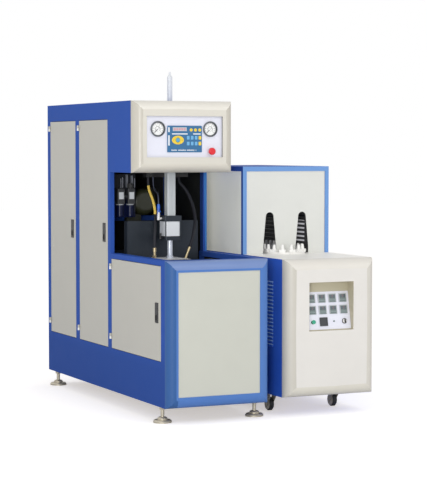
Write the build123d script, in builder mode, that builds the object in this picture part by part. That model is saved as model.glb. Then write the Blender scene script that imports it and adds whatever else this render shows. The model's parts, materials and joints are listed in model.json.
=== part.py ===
from build123d import *
from math import atan2, cos, degrees, pi, radians, sin, tan
import os

# Semi-automatic stretch blow moulding machine for PET bottles: the blowing unit on the left and
# its preform heater on castors on the right. X runs to the right, Y from front to back, Z up.
# The origin lies on the floor, in the middle of both units.

# Blowing unit
blower_width = 600.0
blower_length = 1843.0
blower_height = 1726.0
ground_clearance = 87.0
plinth_height = 243.0
base_height = 870.0
head_front = 470.0
head_height = 397.0
column_front = 782.0
column_depth = 40.0
column_width = 24.0
base_post_depth = 52.0
door_stop_depth = 14.0
middle_post_front = 1287.0
middle_post_depth = 59.0
rear_post_depth = 49.5
post_width = 50.0
frame_wall = 3.0
top_rail_height = 96.0
base_rail_height = 28.0
sheet = 2.0

# Doors, hinges and latches
door_thickness = 22.0
door_gap = 3.0
knuckle_radius = 6.0
hinge_axis_out = 7.5
hinge_pin_radius = 2.5
pin_clearance = 0.05
leaf_width = 20.0
leaf_thickness = 2.0
hinge_height = 32.0
hinge_below_top = 26.0
hinge_above_bottom = 52.0
latch_width = 42.0
latch_height = 106.0
latch_corner = 4.0
latch_scoop = (25.2, 29.68)
latch_gap = 2.0
latch_depth = 8.0
latch_pocket_depth = 13.0
latch_inset = 34.0
latch_rise = 0.504
latch_pin_radius = 2.5

# Bezels: mitred mouldings whose edges roll back a quarter round
base_bezel_depth = 44.0
base_bezel_margin = 60.0
head_bezel_depth = 59.0
head_bezel_roll = 50.0
head_bezel_side = 71.0
head_bezel_rim = 85.0
heater_bezel_depth = 60.0
heater_bezel_roll = 58.0
bezel_wall = 5.0
panel_recess = 4.0
instrument_recess = 14.0

# Levelling feet, whose pads reach out past the sides
foot_pad_radius = 50.0
foot_inset = 27.0

# Preform heater
heater_gap = 93.4
heater_width = 552.0
heater_length = 1450.0
heater_bottom = 106.0
heater_top = 861.0
oven_front_at = 492.0
oven_top = 1360.0
oven_post = 24.0
port_reach = 24.0

# Places worked out from these sizes
foot_reach = foot_pad_radius - foot_inset
overall_width = foot_reach + blower_width + heater_gap + heater_width
overall_length = heater_bezel_depth + blower_length + port_reach
left = foot_reach - overall_width / 2
right = left + blower_width
middle = (left + right) / 2
heater_left = right + heater_gap
heater_right = heater_left + heater_width
heater_middle = (heater_left + heater_right) / 2
front = heater_bezel_depth - overall_length / 2
back = front + blower_length
plinth_bottom = ground_clearance
plinth_top = plinth_bottom + plinth_height
head_bottom = blower_height - head_height
head_y = front + head_front
column_y = front + column_front
column_back = column_y + column_depth
base_post_back = front + base_post_depth
middle_post_y = front + middle_post_front
middle_post_back = middle_post_y + middle_post_depth
rear_post_y = back - rear_post_depth
top_rail_bottom = blower_height - sheet - top_rail_height
base_rail_bottom = base_height - base_rail_height
heater_back = front + heater_length
oven_y = front + oven_front_at

os.makedirs("parts", exist_ok=True)


def save(name, shape):
    shape.label = name
    export_step(shape, f"parts/{name}.step")


def box(x0, x1, y0, y1, z0, z1):
    """A closed block between two corners, standing by itself."""
    with BuildPart() as piece:
        with BuildSketch(Plane.XY.offset(z0)):
            with Locations(((x0 + x1) / 2, (y0 + y1) / 2)):
                Rectangle(x1 - x0, y1 - y0)
        extrude(amount=z1 - z0)
    return piece.part


def tube(x0, x1, y0, y1, z0, z1, along, wall=frame_wall):
    """A box section between two corners, open at both ends along one axis."""
    bore = {"X": (0, wall, wall), "Y": (wall, 0, wall), "Z": (wall, wall, 0)}[along]
    outer = box(x0, x1, y0, y1, z0, z1)
    inner = box(x0 + bore[0], x1 - bore[0], y0 + bore[1], y1 - bore[1], z0 + bore[2], z1 - bore[2])
    return outer - inner


def rod(radius, start, end, at, along):
    """A round bar between two places along one axis, at (u, v) across it."""
    centre = {"X": (start, at[0], at[1]), "Y": (at[0], start, at[1]), "Z": (at[0], at[1], start)}[along]
    normal = {"X": (1, 0, 0), "Y": (0, 1, 0), "Z": (0, 0, 1)}[along]
    with BuildPart() as piece:
        with BuildSketch(Plane(centre, z_dir=normal)):
            Circle(radius)
        extrude(amount=end - start)
    return piece.part


def group(pieces):
    """Separate solids that touch at their faces, kept apart in one node."""
    solids = []
    for piece in pieces:
        solids.extend(piece.solids())
    return Compound(solids)


def mirrored(pieces, plane_x):
    """The same pieces on the other side of an upright plane."""
    mirror_plane = Plane((plane_x, 0, 0), z_dir=(1, 0, 0))
    return [mirror(piece, about=mirror_plane) for piece in pieces]


# Welded frame of the blowing unit: a deep plinth with posts, door stops and rails on each side
plinth_width = 100.0
foot_stem_radius = 10.0
foot_clearance = 0.05
foot_inset_y = 97.0
shelf_bottom = 1030.0
shelf_height = 30.0
foot_places = [
    (side, y)
    for side in (left + foot_inset, right - foot_inset)
    for y in (front + foot_inset_y, back - foot_inset_y)
]
inner_left = left + post_width
inner_right = right - post_width


def left_frame():
    """Plinth beam, posts and rails of the left side."""
    plinth = box(left, left + plinth_width, front, back, plinth_bottom, plinth_top)
    plinth = plinth - box(left + frame_wall, left + plinth_width - frame_wall,
                          front + frame_wall, back - frame_wall,
                          plinth_bottom + frame_wall, plinth_top - frame_wall)
    for x, y in foot_places:
        if x < middle:
            hole_top = plinth_bottom + frame_wall
            plinth = plinth - rod(foot_stem_radius + foot_clearance, plinth_bottom, hole_top, (x, y), "Z")
    posts = [
        (post_width, front, base_post_back, base_rail_bottom),
        (post_width, column_y - door_stop_depth, column_y, base_rail_bottom),
        (column_width, column_y, column_back, top_rail_bottom),
        (post_width, middle_post_y, middle_post_back, top_rail_bottom),
        (post_width, rear_post_y, back, top_rail_bottom),
    ]
    pieces = [plinth]
    for width, y0, y1, top in posts:
        pieces.append(tube(left, left + width, y0, y1, plinth_top, top, "Z"))
    pieces.append(tube(left, inner_left, front, column_y, base_rail_bottom, base_height, "Y"))
    pieces.append(tube(left, inner_left, column_y, back, top_rail_bottom, blower_height - sheet, "Y"))
    return pieces


cross_left = left + plinth_width
cross_right = right - plinth_width
side_pieces = left_frame()
cross_pieces = [
    tube(cross_left, cross_right, front, base_post_back, plinth_bottom, plinth_top, "X"),
    tube(cross_left, cross_right, rear_post_y, back, plinth_bottom, plinth_top, "X"),
    tube(inner_left, inner_right, front, base_post_back, base_rail_bottom, base_height, "X"),
    tube(inner_left, inner_right, column_y, column_back, top_rail_bottom, blower_height - sheet, "X"),
    tube(inner_left, inner_right, rear_post_y, back, top_rail_bottom, blower_height - sheet, "X"),
    tube(inner_left, inner_right, middle_post_y, middle_post_back,
         shelf_bottom, shelf_bottom + shelf_height, "X"),
]
bed_thickness = 20.0
bed_top = plinth_top + bed_thickness
machine_bed = box(inner_left, inner_right, base_post_back, middle_post_back, plinth_top, bed_top)
machine_frame = group(side_pieces + mirrored(side_pieces, middle) + cross_pieces + [machine_bed])
save("machine_frame", machine_frame)

# Head: one folded sheet box over the blow bay, whose top runs back as the roof
blow_axis_at = 626.0
blow_y = front + blow_axis_at
guide_radius = 14.5
guide_clearance = 0.5
profile_size = 50.0
profile_clearance = 0.5
head_middle_z = (head_bottom + blower_height) / 2
with BuildPart() as head_shell:
    with BuildSketch(Plane((middle, head_y, head_middle_z), x_dir=(1, 0, 0), z_dir=(0, -1, 0))):
        Rectangle(blower_width, head_height)
        Rectangle(blower_width - 2 * sheet, head_height - 2 * sheet, mode=Mode.SUBTRACT)
    extrude(amount=head_y - column_y)
    with BuildSketch(Plane.XY.offset(blower_height - sheet)):
        with Locations((middle, (column_y + back) / 2)):
            Rectangle(blower_width, back - column_y)
    extrude(amount=sheet)
    with BuildSketch(Plane.XY.offset(blower_height - sheet)):
        with Locations((middle, blow_y)):
            Circle(guide_radius + guide_clearance)
    extrude(amount=sheet, mode=Mode.SUBTRACT)
    with BuildSketch(Plane.XY.offset(head_bottom)):
        with Locations((middle, blow_y)):
            Rectangle(profile_size + 2 * profile_clearance, profile_size + 2 * profile_clearance)
    extrude(amount=sheet, mode=Mode.SUBTRACT)
save("head_shell", head_shell.part)

# Side openings, front to back: each holds a door on the left and a fixed cover on the right
door_bottom = plinth_top + door_gap
side_openings = {
    "front": (base_post_back + door_gap, column_y - door_stop_depth - door_gap, base_rail_bottom - door_gap),
    "middle": (column_back + door_gap, middle_post_y - door_gap, top_rail_bottom - door_gap),
    "rear": (middle_post_back + door_gap, rear_post_y - door_gap, top_rail_bottom - door_gap),
}


def pan(y0, y1, top):
    """A sheet door folded in at all four edges, flush with the left face."""
    with BuildPart() as piece:
        with BuildSketch(Plane.YZ.offset(left)):
            with Locations(((y0 + y1) / 2, (door_bottom + top) / 2)):
                Rectangle(y1 - y0, top - door_bottom)
        extrude(amount=door_thickness)
        with BuildSketch(Plane.YZ.offset(left + sheet)):
            with Locations(((y0 + y1) / 2, (door_bottom + top) / 2)):
                Rectangle(y1 - y0 - 2 * sheet, top - door_bottom - 2 * sheet)
        extrude(amount=door_thickness - sheet, mode=Mode.SUBTRACT)
    return piece.part


def latch_centre(y0, top):
    return y0 + latch_inset + latch_width / 2, door_bottom + (top - door_bottom) * latch_rise


latch_pin_drop = 12.0
latch_proud = 2.0
pocket_width = latch_width + 2 * latch_gap
pocket_height = latch_height + 2 * latch_gap


def door(y0, y1, top):
    """A pan with the cup that its flush latch sits in and its hinge leaves and knuckles."""
    cy, cz = latch_centre(y0, top)
    pivot_z = cz + latch_height / 2 - latch_pin_drop
    pivot_x = left + latch_depth / 2
    hinge_x = left - hinge_axis_out
    hinge_y = y1 + door_gap / 2
    with BuildPart() as piece:
        add(pan(y0, y1, top))
        with BuildSketch(Plane.YZ.offset(left)):
            with Locations((cy, cz)):
                Rectangle(pocket_width + 2 * sheet, pocket_height + 2 * sheet)
        extrude(amount=latch_pocket_depth + sheet)
        with BuildSketch(Plane.YZ.offset(left)):
            with Locations((cy, cz)):
                Rectangle(pocket_width, pocket_height)
        extrude(amount=latch_pocket_depth, mode=Mode.SUBTRACT)
        with BuildSketch(Plane((pivot_x, cy, pivot_z), z_dir=(0, 1, 0))):
            Circle(latch_pin_radius + pin_clearance)
        extrude(amount=pocket_width / 2 + sheet, both=True, mode=Mode.SUBTRACT)
        for bottom in hinge_bottoms(top):
            with BuildSketch(Plane.XY.offset(bottom + hinge_height / 2 + knuckle_gap)):
                with Locations((hinge_x, hinge_y)):
                    Circle(knuckle_radius)
                with Locations(((hinge_x + left) / 2, hinge_y - leaf_thickness / 2)):
                    Rectangle(hinge_axis_out, leaf_thickness)
                with Locations((left - leaf_thickness / 2, hinge_y - leaf_width / 2)):
                    Rectangle(leaf_thickness, leaf_width)
                with Locations((hinge_x, hinge_y)):
                    Circle(hinge_pin_radius + pin_clearance, mode=Mode.SUBTRACT)
            extrude(amount=hinge_height / 2 - knuckle_gap)
    return piece.part


knuckle_gap = 0.25


def hinge_bottoms(top):
    return (door_bottom + hinge_above_bottom, top - hinge_below_top - hinge_height)


def fixed_hinge(y1, bottom):
    """The frame's half of one hinge: leaf, lower knuckle and the pin through both knuckles."""
    hinge_x = left - hinge_axis_out
    hinge_y = y1 + door_gap / 2
    with BuildPart() as piece:
        with BuildSketch(Plane.XY.offset(bottom)):
            with Locations((hinge_x, hinge_y)):
                Circle(knuckle_radius)
            with Locations(((hinge_x + left) / 2, hinge_y + leaf_thickness / 2)):
                Rectangle(hinge_axis_out, leaf_thickness)
            with Locations((left - leaf_thickness / 2, hinge_y + leaf_width / 2)):
                Rectangle(leaf_thickness, leaf_width)
        extrude(amount=hinge_height / 2 - knuckle_gap)
        with BuildSketch(Plane.XY.offset(bottom)):
            with Locations((hinge_x, hinge_y)):
                Circle(hinge_pin_radius)
        extrude(amount=hinge_height)
    return piece.part


def latch(y0, top):
    """A flush paddle that hinges on a pin near its top edge, with a finger scoop below."""
    cy, cz = latch_centre(y0, top)
    pivot_z = cz + latch_height / 2 - latch_pin_drop
    pivot_x = left + latch_depth / 2
    with BuildPart() as piece:
        with BuildSketch(Plane.YZ.offset(left - latch_proud)):
            with Locations((cy, cz)):
                RectangleRounded(latch_width, latch_height, latch_corner)
        extrude(amount=latch_depth)
        with BuildSketch(Plane.YZ.offset(left - latch_proud)):
            with Locations((cy, cz - latch_height / 4)):
                RectangleRounded(*latch_scoop, latch_corner - 1)
        extrude(amount=latch_depth / 2, mode=Mode.SUBTRACT)
        with BuildSketch(Plane((pivot_x, cy, pivot_z), z_dir=(0, 1, 0))):
            Circle(latch_pin_radius)
        extrude(amount=pocket_width / 2 + sheet, both=True)
    return piece.part


hinge_leaves = []
for place, (y0, y1, top) in side_openings.items():
    save(f"{place}_door", door(y0, y1, top))
    save(f"{place}_latch", latch(y0, top))
    for bottom in hinge_bottoms(top):
        hinge_leaves.append(fixed_hinge(y1, bottom))
save("hinge_leaves", group(hinge_leaves))

right_places = [(y0 - door_gap, y1 + door_gap, top + door_gap) for y0, y1, top in side_openings.values()]
right_pans = mirrored([pan(y0, y1, top) for y0, y1, top in right_places], middle)
back_cover = box(inner_left, inner_right, back - sheet, back, plinth_top, top_rail_bottom)
save("fixed_covers", group(right_pans + [back_cover]))


# Bezels
panel_overlap = 12.0
panel_sheet = 3.0


def bezel_ring(x0, x1, y0, depth, z0, z1, roll, margin, lip):
    """A moulded frame with mitred corners: a quarter round shell and a flat lip round the window."""
    half = (x0 + x1) / 2
    with BuildPart() as piece:
        with BuildLine():
            Polyline((half, y0, z0), (x1, y0, z0), (x1, y0, z1), (x0, y0, z1), (x0, y0, z0), (half, y0, z0))
        with BuildSketch(Plane((half, y0, z0), x_dir=(0, 0, 1), z_dir=(1, 0, 0))):
            with BuildLine():
                EllipticalCenterArc((roll, 0), roll, depth, 180, arc_size=-90)
                Polyline((roll, depth), (margin, depth), (margin, depth - lip), (roll, depth - lip))
                EllipticalCenterArc((roll, 0), roll - bezel_wall, depth - lip, 90, arc_size=90)
                Line((bezel_wall, 0), (0, 0))
            make_face()
        sweep(transition=Transition.RIGHT)
    return piece.part


base_window = (left + base_bezel_margin, right - base_bezel_margin,
               plinth_bottom + base_bezel_margin, base_height - base_bezel_margin)
head_window = (left + head_bezel_side, right - head_bezel_side,
               head_bottom + head_bezel_rim, blower_height - head_bezel_rim)


def backing(window, y, thickness):
    """A flat panel behind a window, wider than it all round."""
    x0, x1, z0, z1 = window
    return box(x0 - panel_overlap, x1 + panel_overlap, y, y + thickness,
               z0 - panel_overlap, z1 + panel_overlap)


front_bezel = bezel_ring(left, right, front, base_bezel_depth, plinth_bottom, base_height,
                         base_bezel_margin - panel_overlap, base_bezel_margin, panel_recess)
save("front_bezel", front_bezel)
front_panel = backing(base_window, front - base_bezel_depth + panel_recess, panel_sheet)
save("front_panel", front_panel)

head_bezel = bezel_ring(left, right, head_y, head_bezel_depth, head_bottom, blower_height,
                        head_bezel_roll, head_bezel_side, instrument_recess)
for z in (head_bottom + head_bezel_side, blower_height - head_bezel_rim):
    head_bezel = head_bezel + box(head_window[0], head_window[1],
                                  head_y - head_bezel_depth, head_y - head_bezel_depth + instrument_recess,
                                  z, z + head_bezel_rim - head_bezel_side)
save("head_bezel", head_bezel)

# Instrument panel with two pressure gauges, a keypad unit and the emergency stop
instrument_y = head_y - head_bezel_depth + instrument_recess
instrument_sheet = 3.0
gauge_places = [(left + 141, 1570.0), (left + 457, 1570.0)]
gauge_radius = 43.5
gauge_depth = 34.0
gauge_stem_radius = 2.0
needle_clearance = 0.05
stop_place = (left + 463, 1447.0)
stop_stem_radius = 8.0
stop_clearance = 0.1
stop_travel = 5.0
keypad_size = (208.0, 147.0)
keypad_place = (left + 301, 1515.0)
keypad_thickness = 6.0
rim_width = 6.0
rim_height = 9.0
dial_lift = 1.5
gauge_back = 30.0
gauge_fitting_radius = 8.0
rim_round = 2.0
needle_seat = gauge_depth / 3
with BuildPart() as head_panel:
    add(backing(head_window, instrument_y, instrument_sheet))
    with BuildSketch(Plane((0, instrument_y, 0), x_dir=(1, 0, 0), z_dir=(0, -1, 0))):
        with Locations(gauge_places):
            Circle(gauge_radius - rim_width)
        with Locations(stop_place):
            Circle(stop_stem_radius + stop_clearance + instrument_sheet)
    extrude(amount=-instrument_sheet, mode=Mode.SUBTRACT)
save("head_panel", head_panel.part)

gauges = []
for x, z in gauge_places:
    with BuildPart() as gauge:
        with BuildSketch(Plane((x, instrument_y, z), z_dir=(0, -1, 0))):
            Circle(gauge_radius)
        extrude(amount=rim_height)
        fillet(gauge.edges().group_by(Axis.Y)[0], rim_round)
        with BuildSketch(Plane((x, instrument_y - dial_lift, z), z_dir=(0, -1, 0))):
            Circle(gauge_radius - rim_width)
        extrude(amount=rim_height, mode=Mode.SUBTRACT)
        with BuildSketch(Plane((x, instrument_y, z), z_dir=(0, 1, 0))):
            Circle(gauge_radius - rim_width)
        extrude(amount=gauge_depth)
        with BuildSketch(Plane((x, instrument_y + gauge_depth, z), z_dir=(0, 1, 0))):
            Circle(gauge_fitting_radius)
        extrude(amount=gauge_back)
        with BuildSketch(Plane((x, instrument_y - dial_lift, z), z_dir=(0, 1, 0))):
            Circle(gauge_stem_radius + needle_clearance)
        extrude(amount=gauge_depth / 2, mode=Mode.SUBTRACT)
    gauges.append(gauge.part)
save("gauges", group(gauges))

needle_length = 27.0
needle_tail = 9.0
needle_width = 3.0
needle_thickness = 1.2
needle_lift = 3.0
zero_angle = 225.0
for name, (x, z) in zip(("left_needle", "right_needle"), gauge_places):
    with BuildPart() as needle:
        with BuildSketch(Plane((x, instrument_y - needle_lift, z), x_dir=(1, 0, 0), z_dir=(0, -1, 0))):
            with Locations(Location((0, 0, 0), (0, 0, zero_angle))):
                with Locations(((needle_length - needle_tail) / 2, 0)):
                    Rectangle(needle_length + needle_tail, needle_width)
            Circle(needle_width)
        extrude(amount=needle_thickness)
        with BuildSketch(Plane((x, instrument_y - needle_lift, z), z_dir=(0, 1, 0))):
            Circle(gauge_stem_radius)
        extrude(amount=needle_lift + needle_seat)
    save(name, needle.part)

key_height = 1.6
keypad_corner = 4.0
display_size = (84.0, 21.0)
display_place = (-31.0, 54.0)
arrow_pad_place = (-42.0, -6.0)
arrow_pad_radii = (36.0, 24.0)
round_key_radius = 9.0
round_keys_place = (64.0, 50.0)
round_key_pitch = 26.0
key_size = (16.0, 20.0)
key_corner = 3.0
key_pitch = (24.0, 32.0)
keys_place = (44.0, -9.0)
end_keys_place = (91.0, -9.0)
with BuildPart() as keypad:
    keypad_plane = Plane((keypad_place[0], instrument_y, keypad_place[1]), x_dir=(1, 0, 0), z_dir=(0, -1, 0))
    with BuildSketch(keypad_plane):
        RectangleRounded(*keypad_size, keypad_corner)
    extrude(amount=keypad_thickness)
    with BuildSketch(keypad_plane.offset(keypad_thickness)):
        with Locations(display_place):
            Rectangle(*display_size)
        with Locations(arrow_pad_place):
            Ellipse(*arrow_pad_radii)
        with GridLocations(round_key_pitch, 1, 3, 1):
            with Locations(round_keys_place):
                Circle(round_key_radius)
        with GridLocations(*key_pitch, 3, 2):
            with Locations(keys_place):
                RectangleRounded(*key_size, key_corner)
        with GridLocations(1, key_pitch[1], 1, 2):
            with Locations(end_keys_place):
                RectangleRounded(*key_size, key_corner)
    extrude(amount=key_height)
save("keypad", keypad.part)

stop_radius = 20.0
stop_cap = 12.0
stop_dome = 5.0
stop_stem = 22.0
stop_plate = 4.0
stop_guide = 8.0
stop_block = 46.0
stop_block_depth = 30.0
stop_x, stop_z = stop_place
stop_seat = instrument_y + instrument_sheet + stop_guide
with BuildPart() as stop_button:
    with BuildSketch(Plane((stop_x, stop_seat, stop_z), z_dir=(0, -1, 0))):
        Circle(stop_stem_radius)
    extrude(amount=stop_stem)
    with BuildSketch(Plane((stop_x, stop_seat - stop_stem, stop_z), z_dir=(0, -1, 0))):
        Circle(stop_radius)
    extrude(amount=stop_cap)
    fillet(stop_button.edges().group_by(Axis.Y)[0], stop_dome)
save("stop_button", stop_button.part)
with BuildPart() as stop_body:
    with BuildSketch(Plane((stop_x, instrument_y, stop_z), z_dir=(0, -1, 0))):
        Circle(stop_stem_radius * 1.9)
    extrude(amount=stop_plate)
    with BuildSketch(Plane((stop_x, instrument_y, stop_z), z_dir=(0, 1, 0))):
        Circle(stop_stem_radius + stop_clearance + instrument_sheet)
    extrude(amount=instrument_sheet)
    with BuildSketch(Plane((stop_x, instrument_y + instrument_sheet, stop_z), z_dir=(0, 1, 0))):
        Rectangle(stop_block, stop_block)
    extrude(amount=stop_block_depth)
    with BuildSketch(Plane((stop_x, instrument_y - stop_plate, stop_z), z_dir=(0, 1, 0))):
        Circle(stop_stem_radius + stop_clearance)
    extrude(amount=stop_plate + instrument_sheet + stop_guide + stop_travel + 1, mode=Mode.SUBTRACT)
save("stop_body", stop_body.part)

# Blowing axis: the stretch cylinder hangs in the head, the seal cylinder hangs below it
seal_cap_top = 1085.0
cap_thickness = 32.0
cap_size = 102.0
barrel_size = 92.0
barrel_bottom = 970.0
lower_cap = 24.0
lower_cap_size = 90.0
seal_bore = 36.0
seal_rod_radius = 15.0
seal_flange_radius = 19.0
seal_flange_top = 858.0
seal_flange_bottom = 843.3
seal_piston = 20.0
stretch_radius = 6.0
stretch_bore = 18.0
stretch_tip = 850.0
running = 0.05
profile_top = 1580.0
piston_thickness = 24.0
stretch_piston_top = 1470.0
profile_flange = 96.0
flange_thickness = 12.0
guide_top = 1865.0
guide_tip = 1892.0
guide_wall = 2.5
profile_corner = 5.0
profile_groove = (5.0, 7.0)
flange_lip = 12.0
guide_collar = 20.0
collar_rim = 6.0
tip_start = guide_top + (guide_tip - guide_top) * 0.55
tip_radius = 5.51
blow_axis = (middle, blow_y)
with BuildPart() as stretch_cylinder:
    with BuildSketch(Plane.XY.offset(seal_cap_top)):
        with Locations(blow_axis):
            RectangleRounded(profile_size, profile_size, profile_corner)
            with PolarLocations(profile_size / 2, 4):
                Rectangle(*profile_groove, mode=Mode.SUBTRACT)
            Circle(stretch_bore, mode=Mode.SUBTRACT)
    extrude(amount=profile_top - seal_cap_top)
    with BuildSketch(Plane.XY.offset(head_bottom + sheet)):
        with Locations(blow_axis):
            Rectangle(profile_flange, profile_flange)
            Rectangle(profile_size - flange_lip, profile_size - flange_lip, mode=Mode.SUBTRACT)
    extrude(amount=flange_thickness)
    with BuildSketch(Plane.XY.offset(profile_top)):
        with Locations(blow_axis):
            RectangleRounded(profile_size + collar_rim, profile_size + collar_rim, profile_corner)
            Circle(guide_radius - guide_wall, mode=Mode.SUBTRACT)
    extrude(amount=guide_collar)
    with BuildSketch(Plane.XY.offset(profile_top)):
        with Locations(blow_axis):
            Circle(guide_radius)
            Circle(guide_radius - guide_wall, mode=Mode.SUBTRACT)
    extrude(amount=guide_top - profile_top)
    with BuildSketch(Plane.XY.offset(guide_top)):
        with Locations(blow_axis):
            Circle(guide_radius)
    with BuildSketch(Plane.XY.offset(tip_start)):
        with Locations(blow_axis):
            Circle(tip_radius)
    loft()
    with BuildSketch(Plane.XY.offset(tip_start)):
        with Locations(blow_axis):
            Circle(tip_radius)
    extrude(amount=guide_tip - tip_start)
save("stretch_cylinder", stretch_cylinder.part)

# Stretch rod with its piston, running down through the seal cylinder
with BuildPart() as stretch_rod:
    with BuildSketch(Plane.XY.offset(stretch_tip)):
        with Locations(blow_axis):
            Circle(stretch_radius)
    extrude(amount=stretch_piston_top - stretch_tip)
    fillet(stretch_rod.edges().group_by(Axis.Z)[0], stretch_radius * 0.6)
    with BuildSketch(Plane.XY.offset(stretch_piston_top - piston_thickness)):
        with Locations(blow_axis):
            Circle(stretch_bore - running)
    extrude(amount=piston_thickness)
save("stretch_rod", stretch_rod.part)

# Seal cylinder: caps, tie rods and barrel, with the hollow rod that presses on the bottle's neck
piston_bottom = barrel_bottom + 8.0
cap_corner = 6.0
barrel_corner = 12.0
barrel_end = 2.0
with BuildPart() as seal_cylinder:
    with BuildSketch(Plane.XY.offset(seal_cap_top - cap_thickness)):
        with Locations(blow_axis):
            RectangleRounded(cap_size, cap_size, cap_corner)
    extrude(amount=cap_thickness)
    with BuildSketch(Plane.XY.offset(barrel_bottom)):
        with Locations(blow_axis):
            RectangleRounded(barrel_size, barrel_size, barrel_corner)
    extrude(amount=seal_cap_top - cap_thickness - barrel_bottom)
    with BuildSketch(Plane.XY.offset(barrel_bottom - lower_cap)):
        with Locations(blow_axis):
            RectangleRounded(lower_cap_size, lower_cap_size, cap_corner)
    extrude(amount=lower_cap)
    with BuildSketch(Plane.XY.offset(barrel_bottom + barrel_end)):
        with Locations(blow_axis):
            Circle(seal_bore)
    extrude(amount=seal_cap_top - cap_thickness - barrel_bottom - 2 * barrel_end, mode=Mode.SUBTRACT)
    with BuildSketch(Plane.XY.offset(barrel_bottom - lower_cap)):
        with Locations(blow_axis):
            Circle(seal_rod_radius + running)
    extrude(amount=lower_cap + barrel_end, mode=Mode.SUBTRACT)
    with BuildSketch(Plane.XY.offset(barrel_bottom)):
        with Locations(blow_axis):
            Circle(stretch_radius + running)
    extrude(amount=seal_cap_top - barrel_bottom, mode=Mode.SUBTRACT)
save("seal_cylinder", seal_cylinder.part)

with BuildPart() as seal_rod:
    with BuildSketch(Plane.XY.offset(seal_flange_bottom)):
        with Locations(blow_axis):
            Circle(seal_flange_radius)
    extrude(amount=seal_flange_top - seal_flange_bottom)
    chamfer(seal_rod.edges().group_by(Axis.Z)[-1], 2)
    with BuildSketch(Plane.XY.offset(seal_flange_top)):
        with Locations(blow_axis):
            Circle(seal_rod_radius)
    extrude(amount=piston_bottom - seal_flange_top)
    with BuildSketch(Plane.XY.offset(piston_bottom)):
        with Locations(blow_axis):
            Circle(seal_bore - running)
    extrude(amount=seal_piston)
    with BuildSketch(Plane.XY.offset(seal_flange_bottom)):
        with Locations(blow_axis):
            Circle(stretch_radius + running)
    extrude(amount=piston_bottom + seal_piston - seal_flange_bottom, mode=Mode.SUBTRACT)
save("seal_rod", seal_rod.part)

# Clamp: a fixed platen in front, a moving platen behind the mould and a cylinder that pushes it
platen_left = left + 80.0
platen_right = left + 517.0
platen_middle = (platen_left + platen_right) / 2
platen_chamfer = 4.0
front_platen_thickness = 40.0
front_platen_top = 840.0
moving_platen_thickness = 50.0
moving_platen_bottom = bed_top + 0.5
moving_platen_top = 1052.0
mould_width = 262.0
mould_half = 98.0
mould_bottom = 520.0
mould_top = 834.0
neck_plate = 9.0
neck_plate_width = 150.0
neck_radius = 14.0
body_radius = 40.0
body_bottom = 600.0
shoulder = 775.0
heel = 8.0
shoulder_rise = 60.0
tie_bar_radius = 18.0
tie_bar_inset = 45.0
tie_bar_levels = (440.0, 790.0)
rear_platen_at = 1160.0
rear_platen_thickness = 55.0
rear_platen_top = 862.0
nut_thickness = 22.0
nut_radius = 30.0
clamp_level = 640.0
clamp_bore = 62.0
clamp_wall = 7.0
clamp_rod_radius = 25.0
clamp_cylinder_length = 270.0
clamp_piston = 24.0
parting = 0.4
front_platen_y = blow_y - mould_half - front_platen_thickness
moving_platen_y = blow_y + mould_half
rear_platen_y = front + rear_platen_at
rear_platen_back = rear_platen_y + rear_platen_thickness
tie_bar_places = [
    (x, z) for x in (platen_left + tie_bar_inset, platen_right - tie_bar_inset) for z in tie_bar_levels
]


def platen(y0, thickness, bottom, top, hole_radius):
    """A machined plate with four holes for the tie bars."""
    with BuildPart() as piece:
        with BuildSketch(Plane((0, y0, 0), x_dir=(-1, 0, 0), z_dir=(0, 1, 0))):
            with Locations((-platen_middle, (bottom + top) / 2)):
                Rectangle(platen_right - platen_left, top - bottom)
            for x, z in tie_bar_places:
                with Locations((-x, z)):
                    Circle(hole_radius, mode=Mode.SUBTRACT)
        extrude(amount=thickness)
        chamfer(piece.edges().filter_by(Axis.Y), platen_chamfer)
    return piece.part


front_platen = platen(front_platen_y, front_platen_thickness, bed_top, front_platen_top, tie_bar_radius)
save("front_platen", front_platen)

clamp_end = rear_platen_back + clamp_cylinder_length
clamp_cover = 2 * clamp_bore + 26.0
clamp_cover_corner = 10.0
clamp_cover_thickness = 25.0
with BuildPart() as clamp_cylinder:
    add(platen(rear_platen_y, rear_platen_thickness, bed_top, rear_platen_top, tie_bar_radius))
    with BuildSketch(Plane((platen_middle, rear_platen_back, clamp_level), z_dir=(0, 1, 0))):
        Circle(clamp_bore + clamp_wall)
    extrude(amount=clamp_cylinder_length)
    with BuildSketch(Plane((platen_middle, clamp_end, clamp_level), z_dir=(0, 1, 0))):
        RectangleRounded(clamp_cover, clamp_cover, clamp_cover_corner)
    extrude(amount=clamp_cover_thickness)
    with BuildSketch(Plane((platen_middle, rear_platen_back, clamp_level), z_dir=(0, 1, 0))):
        Circle(clamp_bore)
    extrude(amount=clamp_cylinder_length, mode=Mode.SUBTRACT)
    with BuildSketch(Plane((platen_middle, rear_platen_y, clamp_level), z_dir=(0, 1, 0))):
        Circle(clamp_rod_radius + running)
    extrude(amount=rear_platen_thickness, mode=Mode.SUBTRACT)
save("clamp_cylinder", clamp_cylinder.part)

tie_bar_front = front_platen_y - nut_thickness
tie_bar_back = rear_platen_back + nut_thickness
tie_bars = [rod(tie_bar_radius, tie_bar_front, tie_bar_back, place, "Y") for place in tie_bar_places]
tie_bar_nuts = []
for x, z in tie_bar_places:
    for y0 in (tie_bar_front, rear_platen_back):
        with BuildPart() as nut:
            with BuildSketch(Plane((x, y0, z), z_dir=(0, 1, 0))):
                RegularPolygon(nut_radius, 6)
                Circle(tie_bar_radius, mode=Mode.SUBTRACT)
            extrude(amount=nut_thickness)
        tie_bar_nuts.append(nut.part)
save("tie_bars", group(tie_bars + tie_bar_nuts))

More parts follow.
